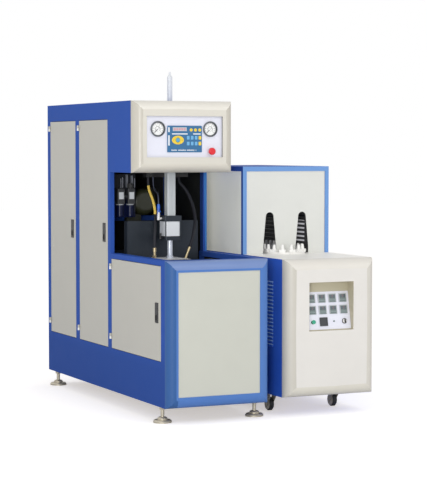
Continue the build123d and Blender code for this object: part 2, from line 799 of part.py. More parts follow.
moving_back = moving_platen_y + moving_platen_thickness
rod_end = rear_platen_back + clamp_piston + 12.0
rod_flange_radius = clamp_rod_radius + 22.0
rod_flange = 16.0
with BuildPart() as moving_platen:
    add(platen(moving_platen_y, moving_platen_thickness, moving_platen_bottom, moving_platen_top,
               tie_bar_radius + running))
    with BuildSketch(Plane((platen_middle, moving_back, clamp_level), z_dir=(0, 1, 0))):
        Circle(rod_flange_radius)
    extrude(amount=rod_flange)
    with BuildSketch(Plane((platen_middle, moving_back, clamp_level), z_dir=(0, 1, 0))):
        Circle(clamp_rod_radius)
    extrude(amount=rod_end - moving_back)
    with BuildSketch(Plane((platen_middle, rod_end - clamp_piston, clamp_level), z_dir=(0, 1, 0))):
        Circle(clamp_bore - running)
    extrude(amount=clamp_piston)
save("moving_platen", moving_platen.part)


def mould(y0, y1):
    """One half of the bottle mould with its half of the white neck plate on top."""
    with BuildPart() as half:
        with BuildSketch(Plane.XY.offset(mould_bottom)):
            with Locations((middle, (y0 + y1) / 2)):
                Rectangle(mould_width, y1 - y0)
        extrude(amount=mould_top - mould_bottom)
        with BuildSketch(Plane((middle, blow_y, 0), x_dir=(1, 0, 0), z_dir=(0, -1, 0))):
            with BuildLine():
                Polyline((0, body_bottom), (body_radius - heel, body_bottom),
                         (body_radius, body_bottom + heel), (body_radius, shoulder - shoulder_rise),
                         (neck_radius, shoulder), (neck_radius, mould_top),
                         (0, mould_top), (0, body_bottom))
            make_face()
        revolve(axis=Axis((middle, blow_y, 0), (0, 0, 1)), mode=Mode.SUBTRACT)
    with BuildPart() as plate:
        with BuildSketch(Plane.XY.offset(mould_top)):
            with Locations((middle, (y0 + y1) / 2)):
                Rectangle(neck_plate_width, y1 - y0)
            with Locations(blow_axis):
                Circle(neck_radius, mode=Mode.SUBTRACT)
        extrude(amount=neck_plate)
    return group([half.part, plate.part])


front_mould_half = mould(front_platen_y + front_platen_thickness, blow_y - parting / 2)
save("front_mould_half", front_mould_half)
rear_mould_half = mould(blow_y + parting / 2, moving_platen_y)
save("rear_mould_half", rear_mould_half)

# Levelling feet: a pad, a threaded stem that runs up into the plinth, and a lock nut
foot_pad_thickness = 16.0
foot_cone = 8.0
foot_stem_top = plinth_bottom + 60.0
foot_nut_radius = 18.0
foot_nut_thickness = 16.0
foot_nut_gap = 0.3
foot_names = ("front_left_foot", "rear_left_foot", "front_right_foot", "rear_right_foot")
for name, (x, y) in zip(foot_names, foot_places):
    with BuildPart() as foot:
        with BuildSketch(Plane.XY):
            with Locations((x, y)):
                Circle(foot_pad_radius)
        extrude(amount=foot_pad_thickness)
        chamfer(foot.edges().group_by(Axis.Z)[-1], foot_pad_thickness * 0.4)
        with BuildSketch(Plane.XY.offset(foot_pad_thickness)):
            with Locations((x, y)):
                Circle(foot_stem_radius * 1.5)
        extrude(amount=foot_cone)
        with BuildSketch(Plane.XY.offset(foot_pad_thickness)):
            with Locations((x, y)):
                Circle(foot_stem_radius)
        extrude(amount=foot_stem_top - foot_pad_thickness)
        with BuildSketch(Plane.XY.offset(plinth_bottom - foot_nut_gap - foot_nut_thickness)):
            with Locations((x, y)):
                RegularPolygon(foot_nut_radius, 6)
        extrude(amount=foot_nut_thickness)
    save(name, foot.part)

# Compressed air: filter and regulator units on an angle bracket behind the left column
air_bottom = 1066.0
air_top = 1314.0
bracket_left = left + column_width
bracket_right = left + 220.0
bracket_front = column_y + 20.0
bracket_back = front + 948.0
unit_width = 46.0
unit_depth = 52.0
unit_places = (left + 112.0, left + 176.0)
bowl_radius = 20.0
bowl_height = 78.0
knob_radius = 16.0
knob_height = 30.0
knob_stem = 20.0
knob_stem_radius = 4.0
knob_gap = 0.3
unit_height = 88.0
unit_corner = 5.0
bowl_round = 8.0
unit_nipple = 12.0
knob_flutes = 12
knob_flute = 2.0
unit_y = bracket_back - sheet - unit_depth / 2
unit_top = air_bottom + bowl_height + unit_height
with BuildPart() as air_filters:
    with BuildSketch(Plane.XY.offset(air_bottom)):
        with Locations(((bracket_left + bracket_right) / 2, bracket_back - sheet / 2)):
            Rectangle(bracket_right - bracket_left, sheet)
        with Locations((bracket_left + sheet / 2, (bracket_front + bracket_back) / 2)):
            Rectangle(sheet, bracket_back - bracket_front)
    extrude(amount=air_top - air_bottom)
    for x in unit_places:
        with BuildSketch(Plane.XY.offset(air_bottom + bowl_height)):
            with Locations((x, unit_y)):
                RectangleRounded(unit_width, unit_depth, unit_corner)
        extrude(amount=unit_height)
        with BuildSketch(Plane.XY.offset(air_bottom)):
            with Locations((x, unit_y)):
                Circle(bowl_radius)
        extrude(amount=bowl_height)
        fillet(air_filters.edges().filter_by(GeomType.CIRCLE).group_by(Axis.Z)[0], bowl_round)
    with BuildSketch(Plane((unit_places[0], unit_y, unit_top - unit_height / 2), z_dir=(1, 0, 0))):
        Circle(unit_nipple)
    extrude(amount=unit_places[1] - unit_places[0])
    with BuildSketch(Plane.XY.offset(unit_top - knob_stem)):
        with Locations((unit_places[1], unit_y)):
            Circle(knob_stem_radius + running)
    extrude(amount=knob_stem, mode=Mode.SUBTRACT)
save("air_filters", air_filters.part)

with BuildPart() as regulator_knob:
    with BuildSketch(Plane.XY.offset(unit_top + knob_gap)):
        with Locations((unit_places[1], unit_y)):
            Circle(knob_radius)
            with PolarLocations(knob_radius, knob_flutes):
                Circle(knob_flute, mode=Mode.SUBTRACT)
    extrude(amount=knob_height)
    with BuildSketch(Plane.XY.offset(unit_top - knob_stem)):
        with Locations((unit_places[1], unit_y)):
            Circle(knob_stem_radius)
    extrude(amount=knob_stem + knob_gap)
save("regulator_knob", regulator_knob.part)

# Air tank on two saddles: one on the clamp cylinder's platen, one on the frame's cross rail
tank_radius = 78.0
tank_x = left + 300.0
tank_z = 1152.0
tank_front = front + 985.0
tank_length = 420.0
tank_round = 31.2
saddle_width = 90.0
saddle_length = 40.0
saddle_inset = 5.0
saddle_top = tank_z - tank_radius / 2
saddle_seats = ((rear_platen_y, rear_platen_top), (middle_post_y, shelf_bottom + shelf_height))
with BuildPart() as air_tank:
    with BuildSketch(Plane((tank_x, tank_front, tank_z), z_dir=(0, 1, 0))):
        Circle(tank_radius)
    extrude(amount=tank_length)
    fillet(air_tank.edges().filter_by(GeomType.CIRCLE), tank_round)
    for y, bottom in saddle_seats:
        with BuildSketch(Plane.XY.offset(bottom)):
            with Locations((tank_x, y + saddle_inset + saddle_length / 2)):
                Rectangle(saddle_width, saddle_length)
        extrude(amount=saddle_top - bottom)
save("air_tank", air_tank.part)

# Electrical back plate on the right side of the rear bay
gear_y0 = middle_post_y + 20.0
gear_y1 = back - 20.0
gear_bottom = shelf_bottom + shelf_height + 10.0
gear_top = 1600.0
gear_sheet = 3.0
gear_rail = (400.0, 35.0, 8.0)
device_gap = 6.0
gear_middle = (middle_post_back + rear_post_y) / 2
device_rows = ((1510.0, 3, 110.0, 90.0, 60.0), (1350.0, 6, 48.0, 80.0, 75.0), (1190.0, 8, 34.0, 60.0, 45.0))
with BuildPart() as control_gear:
    with BuildSketch(Plane.YZ.offset(inner_right)):
        with Locations(((gear_y0 + gear_y1) / 2, (gear_bottom + gear_top) / 2)):
            Rectangle(gear_y1 - gear_y0, gear_top - gear_bottom)
    extrude(amount=-gear_sheet)
    for row_z, count, width, height, depth in device_rows:
        with BuildSketch(Plane.YZ.offset(inner_right - gear_sheet)):
            with Locations((gear_middle, row_z)):
                Rectangle(*gear_rail[:2])
        extrude(amount=-gear_rail[2])
        with BuildSketch(Plane.YZ.offset(inner_right - gear_sheet)):
            with Locations((gear_middle, row_z)):
                with GridLocations(width + device_gap, 1, count, 1):
                    Rectangle(width, height)
        extrude(amount=-depth)
save("control_gear", control_gear.part)

# Hoses from the valve block under the head to the mould and the seal cylinder
block_x = (left + 200.0, left + 460.0)
block_y = (front + 735.0, front + 785.0)
block_bottom = 1300.0
yellow_hose_radius = 7.5
grey_hose_radius = 3.5
black_hose_radius = 9.0
mould_fitting_top = 905.0
fitting_radius = 9.5
grey_fitting_top = 1150.0
tilt = 22.0
fitting_y = blow_axis_at - 20.0
hose_straight = 46.0
bend_share = 0.45
fitting_stem = 7.6
fitting_nut = 10.925
straight_nut = 30.0
straight_sleeve = 22.0
tilted_nut = 12.0
tilted_sleeve = 24.0
controller_port = 6.0
controller_body = 8.0
controller_foot = 9.0
controller_collar = (9.5, 16.0)
controller_collar_drop = 26.0
controller_screw = (5.0, 22.0)
controller_screw_rise = 40.0
silencer_neck = (5.0, 14.0)
silencer_body = (6.0, 34.0)
tilted_base_x = 388.0
tilted_base_z = 842.0
tilted_length = 68.0
tilt_x = sin(radians(tilt))
tilt_z = cos(radians(tilt))
tilted_end = (tilted_base_x + tilted_length * tilt_x, fitting_y, tilted_base_z + tilted_length * tilt_z)
straight_fitting_x = 197.0
yellow_route = [(straight_fitting_x, fitting_y, mould_fitting_top), (straight_fitting_x, fitting_y, 955),
                (214, 636, 1036), (231, 676, 1106), (235, 710, 1160), (230, 744, 1206), (223, 761, 1243),
                (223, 761, block_bottom)]
tilted_straight = (tilted_end[0] + hose_straight * tilt_x, fitting_y, tilted_end[2] + hose_straight * tilt_z)
black_route = [tilted_end, tilted_straight,
               (449, 626, 1000), (471, 656, 1055), (478, 692, 1115), (470, 720, 1172), (454, 738, 1218),
               (430, 748, 1250), (408, 752, 1273), (408, 752, block_bottom)]
grey_route = [(230, 626, grey_fitting_top), (230, 626, 1172), (232, 634, 1192), (236, 654, 1208),
              (242, 684, 1216), (247, 714, 1222), (250, 740, 1236), (250, 752, 1258), (250, 752, block_bottom)]


def hose(radius, route):
    """A bent tube along straight runs that are joined by arcs as large as the runs allow."""
    points = [Vector(left + x, front + y, z) for x, y, z in route]
    radii = []
    for before, here, after in zip(points, points[1:], points[2:]):
        turn = radians((here - before).get_angle(after - here))
        radii.append(bend_share * min((here - before).length, (after - here).length) / tan(turn / 2))
    with BuildPart() as piece:
        with BuildLine():
            FilletPolyline(*points, radius=radii)
        with BuildSketch(Plane(points[0], z_dir=points[1] - points[0])):
            Circle(radius)
        sweep()
    return piece.part


save("yellow_hose", hose(yellow_hose_radius, yellow_route))
save("black_hose", hose(black_hose_radius, black_route))
save("grey_hose", hose(grey_hose_radius, grey_route))

# Fittings at both ends of the hoses, each a solid by itself
fitting_pieces = [box(*block_x, *block_y, block_bottom, head_bottom)]
mould_fitting_y = front + fitting_y
with BuildPart() as straight_fitting:
    with BuildSketch(Plane.XY.offset(mould_top)):
        with Locations((left + straight_fitting_x, mould_fitting_y)):
            Circle(fitting_stem)
    extrude(amount=mould_fitting_top - mould_top)
    with BuildSketch(Plane.XY.offset(mould_top)):
        with Locations((left + straight_fitting_x, mould_fitting_y)):
            RegularPolygon(fitting_nut, 6)
    extrude(amount=straight_nut)
    with BuildSketch(Plane.XY.offset(mould_fitting_top - straight_sleeve)):
        with Locations((left + straight_fitting_x, mould_fitting_y)):
            Circle(fitting_radius)
    extrude(amount=straight_sleeve)
fitting_pieces.append(straight_fitting.part)
tilted_direction = (tilt_x, 0, tilt_z)
tilted_x = left + tilted_base_x
with BuildPart() as tilted_fitting:
    with BuildSketch(Plane.XY.offset(mould_top)):
        with Locations((tilted_x, mould_fitting_y)):
            RegularPolygon(fitting_nut, 6)
    extrude(amount=tilted_nut)
    with BuildSketch(Plane((tilted_x, mould_fitting_y, tilted_base_z), z_dir=tilted_direction)):
        Circle(fitting_stem)
    extrude(amount=tilted_length)
    sleeve_at = tilted_length - tilted_sleeve
    sleeve_place = (tilted_x + sleeve_at * tilt_x, mould_fitting_y, tilted_base_z + sleeve_at * tilt_z)
    with BuildSketch(Plane(sleeve_place, z_dir=tilted_direction)):
        Circle(fitting_radius)
    extrude(amount=tilted_sleeve)
fitting_pieces.append(tilted_fitting.part)
controller_x = left + grey_route[0][0]
cap_left = middle - cap_size / 2
controller_z = seal_cap_top - cap_thickness / 2
with BuildPart() as speed_controller:
    with BuildSketch(Plane((cap_left, blow_y, controller_z), z_dir=(-1, 0, 0))):
        Circle(controller_port)
    extrude(amount=cap_left - controller_x)
    with BuildSketch(Plane.XY.offset(controller_z - controller_foot)):
        with Locations((controller_x, blow_y)):
            Circle(controller_body)
    extrude(amount=grey_fitting_top - controller_z + controller_foot)
    with BuildSketch(Plane.XY.offset(grey_fitting_top - controller_collar_drop)):
        with Locations((controller_x, blow_y)):
            Circle(controller_collar[0])
    extrude(amount=controller_collar[1])
    with BuildSketch(Plane((controller_x, blow_y, controller_z + controller_screw_rise), z_dir=(0, -1, 0))):
        Circle(controller_screw[0])
    extrude(amount=controller_screw[1])
fitting_pieces.append(speed_controller.part)
lower_cap_left = middle - lower_cap_size / 2
silencer_z = barrel_bottom - lower_cap / 2
with BuildPart() as silencer:
    with BuildSketch(Plane((lower_cap_left, blow_y, silencer_z), z_dir=(-1, 0, 0))):
        Circle(silencer_neck[0])
    extrude(amount=silencer_neck[1])
    with BuildSketch(Plane.XY.offset(silencer_z - silencer_body[0])):
        with Locations((lower_cap_left - silencer_neck[1], blow_y)):
            Circle(silencer_body[0])
    extrude(amount=silencer_body[1])
fitting_pieces.append(silencer.part)
save("hose_fittings", group(fitting_pieces))

# Ports on the back cover: compressed air, cooling water in and out, and the cable gland
port_z = 480.0
port_places = ((middle - 120.0, 14.0), (middle - 40.0, 11.0), (middle + 20.0, 11.0), (middle + 120.0, 13.0))
port_nut_share = 1.25
port_nut_reach = port_reach * 0.4
port_bore_share = 0.55
ports = []
for x, radius in port_places:
    with BuildPart() as port:
        with BuildSketch(Plane((x, back, port_z), z_dir=(0, 1, 0))):
            RegularPolygon(radius * port_nut_share, 6)
        extrude(amount=port_nut_reach)
        with BuildSketch(Plane((x, back, port_z), z_dir=(0, 1, 0))):
            Circle(radius)
        extrude(amount=port_reach)
        with BuildSketch(Plane((x, back, port_z), z_dir=(0, 1, 0))):
            Circle(radius * port_bore_share)
        extrude(amount=port_reach, mode=Mode.SUBTRACT)
    ports.append(port.part)
save("service_ports", group(ports))

# Preform heater: a louvred cabinet on castors with the oven on top
heater_sheet = 2.0
louvre_count = 18
louvre_pitch = 20.3
louvre_front = front + 105.0
louvre_length = 210.0
louvre_top = 734.0
louvre_slot = 7.0
louvre_reach = 6.0
louvre_height = 13.0
castor_inset_x = 48.0
castor_track = 400.0
castor_plate = 74.0
castor_plate_thickness = 6.0
castor_plate_bottom = heater_bottom - castor_plate_thickness
kingpin_radius = 6.0
castor_front_y = front + 220.0
castor_back_y = heater_back - 120.0
castors = (("left", heater_left + castor_inset_x), ("right", heater_left + castor_inset_x + castor_track))
oven_back = heater_back - 60.0
lane_offset = 104.0
heater_centre = (heater_middle, front, (heater_bottom + heater_top) / 2)
heater_section = Plane(heater_centre, x_dir=(1, 0, 0), z_dir=(0, -1, 0))
louvre_middle = louvre_front + louvre_length / 2
louvre_slot_top = louvre_top - louvre_height + louvre_slot / 2
with BuildPart() as heater_cabinet:
    with BuildSketch(heater_section):
        Rectangle(heater_width, heater_top - heater_bottom)
    extrude(amount=front - heater_back)
    with BuildSketch(heater_section):
        Rectangle(heater_width - 2 * heater_sheet, heater_top - heater_bottom - 2 * heater_sheet)
    extrude(amount=front - heater_back + heater_sheet, mode=Mode.SUBTRACT)
    with BuildSketch(Plane((0, louvre_front, 0), x_dir=(-1, 0, 0), z_dir=(0, 1, 0))):
        for step in range(louvre_count):
            z = louvre_top - step * louvre_pitch
            with BuildLine():
                Polyline((-heater_left, z), (-heater_left + louvre_reach, z - louvre_height),
                         (-heater_left, z - louvre_height), (-heater_left, z))
            make_face()
    extrude(amount=louvre_length)
    with BuildSketch(Plane.YZ.offset(heater_left - louvre_reach)):
        for step in range(louvre_count):
            with Locations((louvre_middle, louvre_slot_top - step * louvre_pitch)):
                Rectangle(louvre_length - 2 * heater_sheet, louvre_slot)
    extrude(amount=louvre_reach + heater_sheet, mode=Mode.SUBTRACT)
    for side, x in castors:
        for y in (castor_front_y, castor_back_y):
            with BuildSketch(Plane.XY.offset(castor_plate_bottom)):
                with Locations((x, y)):
                    Rectangle(castor_plate, castor_plate)
            extrude(amount=castor_plate_thickness)
        with BuildSketch(Plane.XY.offset(castor_plate_bottom)):
            with Locations((x, castor_front_y)):
                Circle(kingpin_radius + running)
        extrude(amount=castor_plate_thickness + heater_sheet, mode=Mode.SUBTRACT)
save("heater_cabinet", heater_cabinet.part)

# Heater bezel with the sunk pocket that its sloping meter panel closes
pocket_left = heater_left + 136.0
pocket_right = heater_left + 410.5
pocket_bottom = 468.0
pocket_top = 734.0
pocket_step = 680.0
pocket_depth = 69.0
pocket_toe = 25.0
pocket_wall = 3.0
heater_face_y = front - heater_bezel_depth
heater_margin = heater_bezel_roll + 6.0
pocket_back_y = heater_face_y + pocket_depth
pocket_toe_y = heater_face_y + pocket_toe


def pocket(x0, x1, grow):
    """The pocket's hollow, grown by a wall at its top, back and underside."""
    with BuildPart() as piece:
        with BuildSketch(Plane.YZ.offset(x0)):
            with BuildLine():
                Polyline((heater_face_y, pocket_bottom - grow), (pocket_toe_y, pocket_bottom - grow),
                         (pocket_back_y + grow, pocket_step - grow),
                         (pocket_back_y + grow, pocket_top + grow),
                         (heater_face_y, pocket_top + grow), (heater_face_y, pocket_bottom - grow))
            make_face()
        extrude(amount=x1 - x0)
    return piece.part


face_plate = box(heater_left + heater_margin, heater_right - heater_margin,
                 heater_face_y, heater_face_y + bezel_wall,
                 heater_bottom + heater_margin, heater_top - heater_margin)
heater_ring = bezel_ring(heater_left, heater_right, front, heater_bezel_depth, heater_bottom, heater_top,
                         heater_bezel_roll, heater_margin, bezel_wall)
pocket_shell = pocket(pocket_left - pocket_wall, pocket_right + pocket_wall, pocket_wall)
heater_bezel = heater_ring + face_plate + pocket_shell - pocket(pocket_left, pocket_right, 0)
meter_slope = atan2(pocket_back_y - pocket_toe_y, pocket_step - pocket_bottom)
meter_middle = (
    (pocket_left + pocket_right) / 2,
    (pocket_back_y + pocket_toe_y) / 2,
    (pocket_step + pocket_bottom) / 2,
)
meter_plane = Plane(meter_middle, x_dir=(1, 0, 0), z_dir=(0, -cos(meter_slope), sin(meter_slope)))
meter_height = (pocket_step - pocket_bottom) / cos(meter_slope)
meter_sheet = 3.0
meter_bezel = 5.0
meter_case = 43.0
meter_case_depth = 40.0
meter_case_clearance = 2.0
meter_corner = 2.0
meter_face_width = 48.0
meter_window = 39.0
meter_window_depth = 1.5
panel_edge = 2.0
panel_rim = 8.0
meter_columns = (-97.5, -32.5, 32.5, 97.5)
meter_rows = (68.0, 4.0)
control_row = -62.0
button_radius = 11.0
button_stem_radius = 6.0
button_travel = 4.0
key_radius = 12.0
key_stem_radius = 8.0
key_blade = (5.0, 22.0, 2.0)
holder_rim = 3.0
holder_collar = 2.5
holder_depth = 24.0
holder_floor = 6.0
holder_clearance = 0.5
key_gap = 0.5
key_disc = 3.0
key_handle = 10.0
button_cap = 5.0
meter_places = [(u, v) for v in meter_rows for u in meter_columns]
timer_place = (meter_columns[1], control_row)
button_place = (meter_columns[0], control_row)
key_place = (meter_columns[3], control_row)
with BuildPart() as meter_hole:
    with BuildSketch(meter_plane.offset(meter_sheet)):
        with Locations(meter_places + [timer_place]):
            Rectangle(meter_case + meter_case_clearance, meter_case + meter_case_clearance)
        with Locations(button_place):
            Circle(button_radius)
        with Locations(key_place):
            Circle(key_radius)
    extrude(amount=-meter_sheet - pocket_wall * 4)
heater_bezel = heater_bezel - meter_hole.part
save("heater_bezel", heater_bezel)
with BuildPart() as meter_panel:
    with BuildSketch(meter_plane):
        Rectangle(pocket_right - pocket_left - panel_edge, meter_height - panel_rim)
    extrude(amount=meter_sheet)
meter_panel = meter_panel.part - meter_hole.part
save("meter_panel", meter_panel)

meters = []
for u, v in meter_places + [timer_place]:
    with BuildPart() as meter:
        with BuildSketch(meter_plane.offset(meter_sheet)):
            with Locations((u, v)):
                RectangleRounded(meter_face_width, meter_face_width, meter_corner)
        extrude(amount=meter_bezel)
        with BuildSketch(meter_plane.offset(meter_sheet)):
            with Locations((u, v)):
                Rectangle(meter_case, meter_case)
        extrude(amount=-meter_case_depth)
        with BuildSketch(meter_plane.offset(meter_sheet + meter_bezel)):
            with Locations((u, v)):
                Rectangle(meter_window, meter_window)
        extrude(amount=-meter_window_depth, mode=Mode.SUBTRACT)
    meters.append(meter.part)
holders = (
    (*button_place, button_stem_radius, button_radius),
    (*key_place, key_stem_radius, key_radius),
)
for u, v, hole, outer in holders:
    with BuildPart() as holder:
        with BuildSketch(meter_plane.offset(meter_sheet)):
            with Locations((u, v)):
                Circle(outer + holder_rim)
                Circle(hole + stop_clearance, mode=Mode.SUBTRACT)
        extrude(amount=holder_collar)
        with BuildSketch(meter_plane.offset(meter_sheet)):
            with Locations((u, v)):
                Circle(outer - holder_clearance)
                Circle(hole + stop_clearance, mode=Mode.SUBTRACT)
        extrude(amount=-holder_depth)
        with BuildSketch(meter_plane.offset(meter_sheet - holder_depth)):
            with Locations((u, v)):
                Circle(outer - holder_clearance)
        extrude(amount=-holder_floor)
    meters.append(holder.part)
save("meters", group(meters))

with BuildPart() as start_button:
    with BuildSketch(meter_plane.offset(meter_sheet - holder_depth + button_travel + 2 * key_gap)):
        with Locations(button_place):
            Circle(button_stem_radius)
    extrude(amount=holder_depth + holder_collar)
    with BuildSketch(meter_plane.offset(meter_sheet + holder_collar + button_travel + key_gap)):
        with Locations(button_place):
            Circle(button_radius)
    extrude(amount=button_cap)
save("start_button", start_button.part)
with BuildPart() as key_switch:
    with BuildSketch(meter_plane.offset(meter_sheet - holder_depth + 2 * key_gap)):
        with Locations(key_place):
            Circle(key_stem_radius)
    extrude(amount=holder_depth + holder_collar)
    with BuildSketch(meter_plane.offset(meter_sheet + holder_collar + key_gap)):
        with Locations(key_place):
            Circle(key_radius)
    extrude(amount=key_disc)
    with BuildSketch(meter_plane.offset(meter_sheet + holder_collar + key_gap + key_disc)):
        with Locations(key_place):
            RectangleRounded(*key_blade)
    extrude(amount=key_handle)
save("key_switch", key_switch.part)

# Oven on the heater: corner posts, panels, and a front with one arched mouth for each lane
oven_sheet = 3.0
oven_reveal = 4.0
oven_roof_top = oven_top
oven_post_top = oven_top - oven_sheet
oven_left_post = heater_left + oven_post
oven_right_post = heater_right - oven_post
oven_front_post = oven_y + oven_post
oven_back_post = oven_back - oven_post
oven_pieces = [box(heater_left, heater_right, oven_y, oven_back, oven_post_top, oven_roof_top)]
for x in (heater_left, oven_right_post):
    for y in (oven_y, oven_back_post):
        oven_pieces.append(tube(x, x + oven_post, y, y + oven_post, heater_top, oven_post_top, "Z"))
    oven_pieces.append(tube(x, x + oven_post, oven_front_post, oven_back_post, oven_post_top - oven_post,
                            oven_post_top, "Y"))
    panel_x = x + oven_reveal if x == heater_left else x + oven_post - oven_reveal - oven_sheet
    oven_pieces.append(box(panel_x, panel_x + oven_sheet, oven_front_post, oven_back_post, heater_top,
                           oven_post_top - oven_post))
for y in (oven_y, oven_back_post):
    oven_pieces.append(tube(oven_left_post, oven_right_post, y, y + oven_post, oven_post_top - oven_post,
                            oven_post_top, "X"))
oven_pieces.append(box(oven_left_post, oven_right_post,
                       oven_back - oven_reveal - oven_sheet, oven_back - oven_reveal,
                       heater_top, oven_post_top - oven_post))
save("oven_frame", group(oven_pieces))

mouth_half = 41.5
mouth_shoulder = 903.0
mouth_top_radius = 25.0
mouth_top = 1099.0
lanes = (heater_middle - lane_offset, heater_middle + lane_offset)
with BuildPart() as oven_front:
    with BuildSketch(Plane((0, oven_y + oven_reveal, 0), x_dir=(-1, 0, 0), z_dir=(0, 1, 0))):
        with Locations((-heater_middle, (heater_top + oven_post_top - oven_post) / 2)):
            Rectangle(oven_right_post - oven_left_post, oven_post_top - oven_post - heater_top)
        for x in lanes:
            arch_left = (-x - mouth_top_radius, mouth_top - mouth_top_radius)
            arch_right = (-x + mouth_top_radius, mouth_top - mouth_top_radius)
            with BuildLine():
                Polyline(arch_left, (-x - mouth_half, mouth_shoulder), (-x - mouth_half, heater_top),
                         (-x + mouth_half, heater_top), (-x + mouth_half, mouth_shoulder), arch_right)
                ThreePointArc(arch_left, (-x, mouth_top), arch_right)
            make_face(mode=Mode.SUBTRACT)
    extrude(amount=oven_sheet)
save("oven_front", oven_front.part)

lamp_count = 7
lamp_pitch = 24.0
lamp_bottom = 928.0
lamp_radius = 5.0
lamp_offset = 58.0
reflector_offset = 72.0
reflector_sheet = 3.0
bracket_sheet = 6.0
bracket_overlap = 10.0
lamp_front = oven_y + 60.0
lamp_back = oven_back - 230.0
lamp_top = lamp_bottom + (lamp_count - 1) * lamp_pitch
with BuildPart() as lamps:
    for side, lane in zip((-1, 1), lanes):
        backing_x = lane + side * reflector_offset
        with BuildSketch(Plane.XY.offset(heater_top)):
            with Locations((backing_x, (lamp_front + lamp_back) / 2)):
                Rectangle(reflector_sheet, lamp_back - lamp_front)
            for y in (lamp_front + bracket_sheet / 2, lamp_back - bracket_sheet / 2):
                with Locations((lane + side * (reflector_offset + lamp_offset - bracket_overlap) / 2, y)):
                    Rectangle(reflector_offset - lamp_offset + bracket_overlap, bracket_sheet)
        extrude(amount=lamp_top + lamp_pitch - heater_top)
        with BuildSketch(Plane((0, lamp_front, 0), x_dir=(-1, 0, 0), z_dir=(0, 1, 0))):
            for step in range(lamp_count):
                with Locations((-lane - side * lamp_offset, lamp_bottom + step * lamp_pitch)):
                    Circle(lamp_radius)
        extrude(amount=lamp_back - lamp_front)
save("lamps", lamps.part)

# Carrier chain: a racetrack rail on the table with evenly spaced preform carriers
turn_front = oven_y + 20.0
turn_back = oven_back - 150.0
rail_width = 26.0
rail_height = 10.0
carrier_pitch = 52.0
carrier_width = 36.0
carrier_height = 16.0
collet_radius = 11.0
collet_height = 28.0
collet_sides = 10
collet_taper = 8.0
lane_length = turn_back - turn_front
turn_length = pi * lane_offset
loop_length = 2 * (lane_length + turn_length)
carrier_count = round(loop_length / carrier_pitch)


def on_turn(angle, centre_y):
    """Place at an angle on one of the chain's half circles."""
    x = heater_middle + lane_offset * cos(radians(angle))
    return x, centre_y + lane_offset * sin(radians(angle))


def on_loop(distance):
    """Place and heading along the chain, from the start of the left lane."""
    if distance < lane_length:
        return (lanes[0], turn_front + distance), 90.0
    distance -= lane_length
    if distance < turn_length:
        angle = 180.0 - degrees(distance / lane_offset)
        return on_turn(angle, turn_back), angle - 90.0
    distance -= turn_length
    if distance < lane_length:
        return (lanes[1], turn_back - distance), -90.0
    distance -= lane_length
    angle = -degrees(distance / lane_offset)
    return on_turn(angle, turn_front), angle - 90.0


with BuildPart() as carrier_chain:
    with BuildSketch(Plane.XY.offset(heater_top)):
        with Locations(Location((heater_middle, (turn_front + turn_back) / 2, 0), (0, 0, 90))):
            SlotCenterToCenter(lane_length, 2 * lane_offset + rail_width)
            SlotCenterToCenter(lane_length, 2 * lane_offset - rail_width, mode=Mode.SUBTRACT)
    extrude(amount=rail_height)
    for index in range(carrier_count):
        (x, y), heading = on_loop(index * loop_length / carrier_count)
        with BuildSketch(Plane.XY.offset(heater_top + rail_height)):
            with Locations(Location((x, y, 0), (0, 0, heading))):
                Rectangle(carrier_width, carrier_width)
        extrude(amount=carrier_height)
        with BuildSketch(Plane.XY.offset(heater_top + rail_height + carrier_height)):
            with Locations((x, y)):
                RegularPolygon(collet_radius, collet_sides)
        extrude(amount=collet_height, taper=collet_taper)
save("carrier_chain", carrier_chain.part)

# Castors: swivelling forks in front, fixed forks behind
wheel_radius = 37.5
wheel_width = 28.0
wheel_edge = 5.0
axle_radius = 5.0
cheek = 3.0
cheek_gap = 2.0
crown_radius = 27.0
crown_thickness = 5.0
castor_trail = 30.0
kingpin_head = 4.0
swivel_gap = 0.3
cheek_foot = 18.0
cheek_toe = 12.0


def fork(x, y, gap):
    """A crown with two cheeks that carry the axle, trailing behind the crown's centre."""
    crown_top = castor_plate_bottom - gap
    half = wheel_width / 2 + cheek_gap
    axle_y = y + castor_trail
    with BuildPart() as piece:
        with BuildSketch(Plane.XY.offset(crown_top - crown_thickness)):
            with Locations((x, y)):
                Circle(crown_radius)
            with Locations((x, y + castor_trail / 2)):
                Rectangle(2 * (half + cheek), castor_trail)
        extrude(amount=crown_thickness)
        for side in (-1, 1):
            inner_x = x + side * half
            with BuildSketch(Plane.YZ.offset(inner_x)):
                with BuildLine():
                    Polyline((y - cheek_foot, crown_top), (axle_y, crown_top),
                             (axle_y + cheek_toe, wheel_radius), (axle_y, wheel_radius - cheek_toe),
                             (axle_y - cheek_toe, wheel_radius), (y - cheek_foot, crown_top - cheek_foot),
                             (y - cheek_foot, crown_top))
                make_face()
            extrude(amount=side * cheek)
        with BuildSketch(Plane((x - half - cheek, axle_y, wheel_radius), z_dir=(1, 0, 0))):
            Circle(axle_radius)
        extrude(amount=2 * (half + cheek))
    return piece.part


def castor_wheel(x, y):
    """A solid rubber tread on a hub, free to turn on the fork's axle."""
    with BuildPart() as piece:
        with BuildSketch(Plane((x - wheel_width / 2, y + castor_trail, wheel_radius), z_dir=(1, 0, 0))):
            Circle(wheel_radius)
        extrude(amount=wheel_width)
        chamfer(piece.edges(), wheel_edge)
        with BuildSketch(Plane((x - wheel_width / 2, y + castor_trail, wheel_radius), z_dir=(1, 0, 0))):
            Circle(axle_radius + running)
        extrude(amount=wheel_width, mode=Mode.SUBTRACT)
    return piece.part


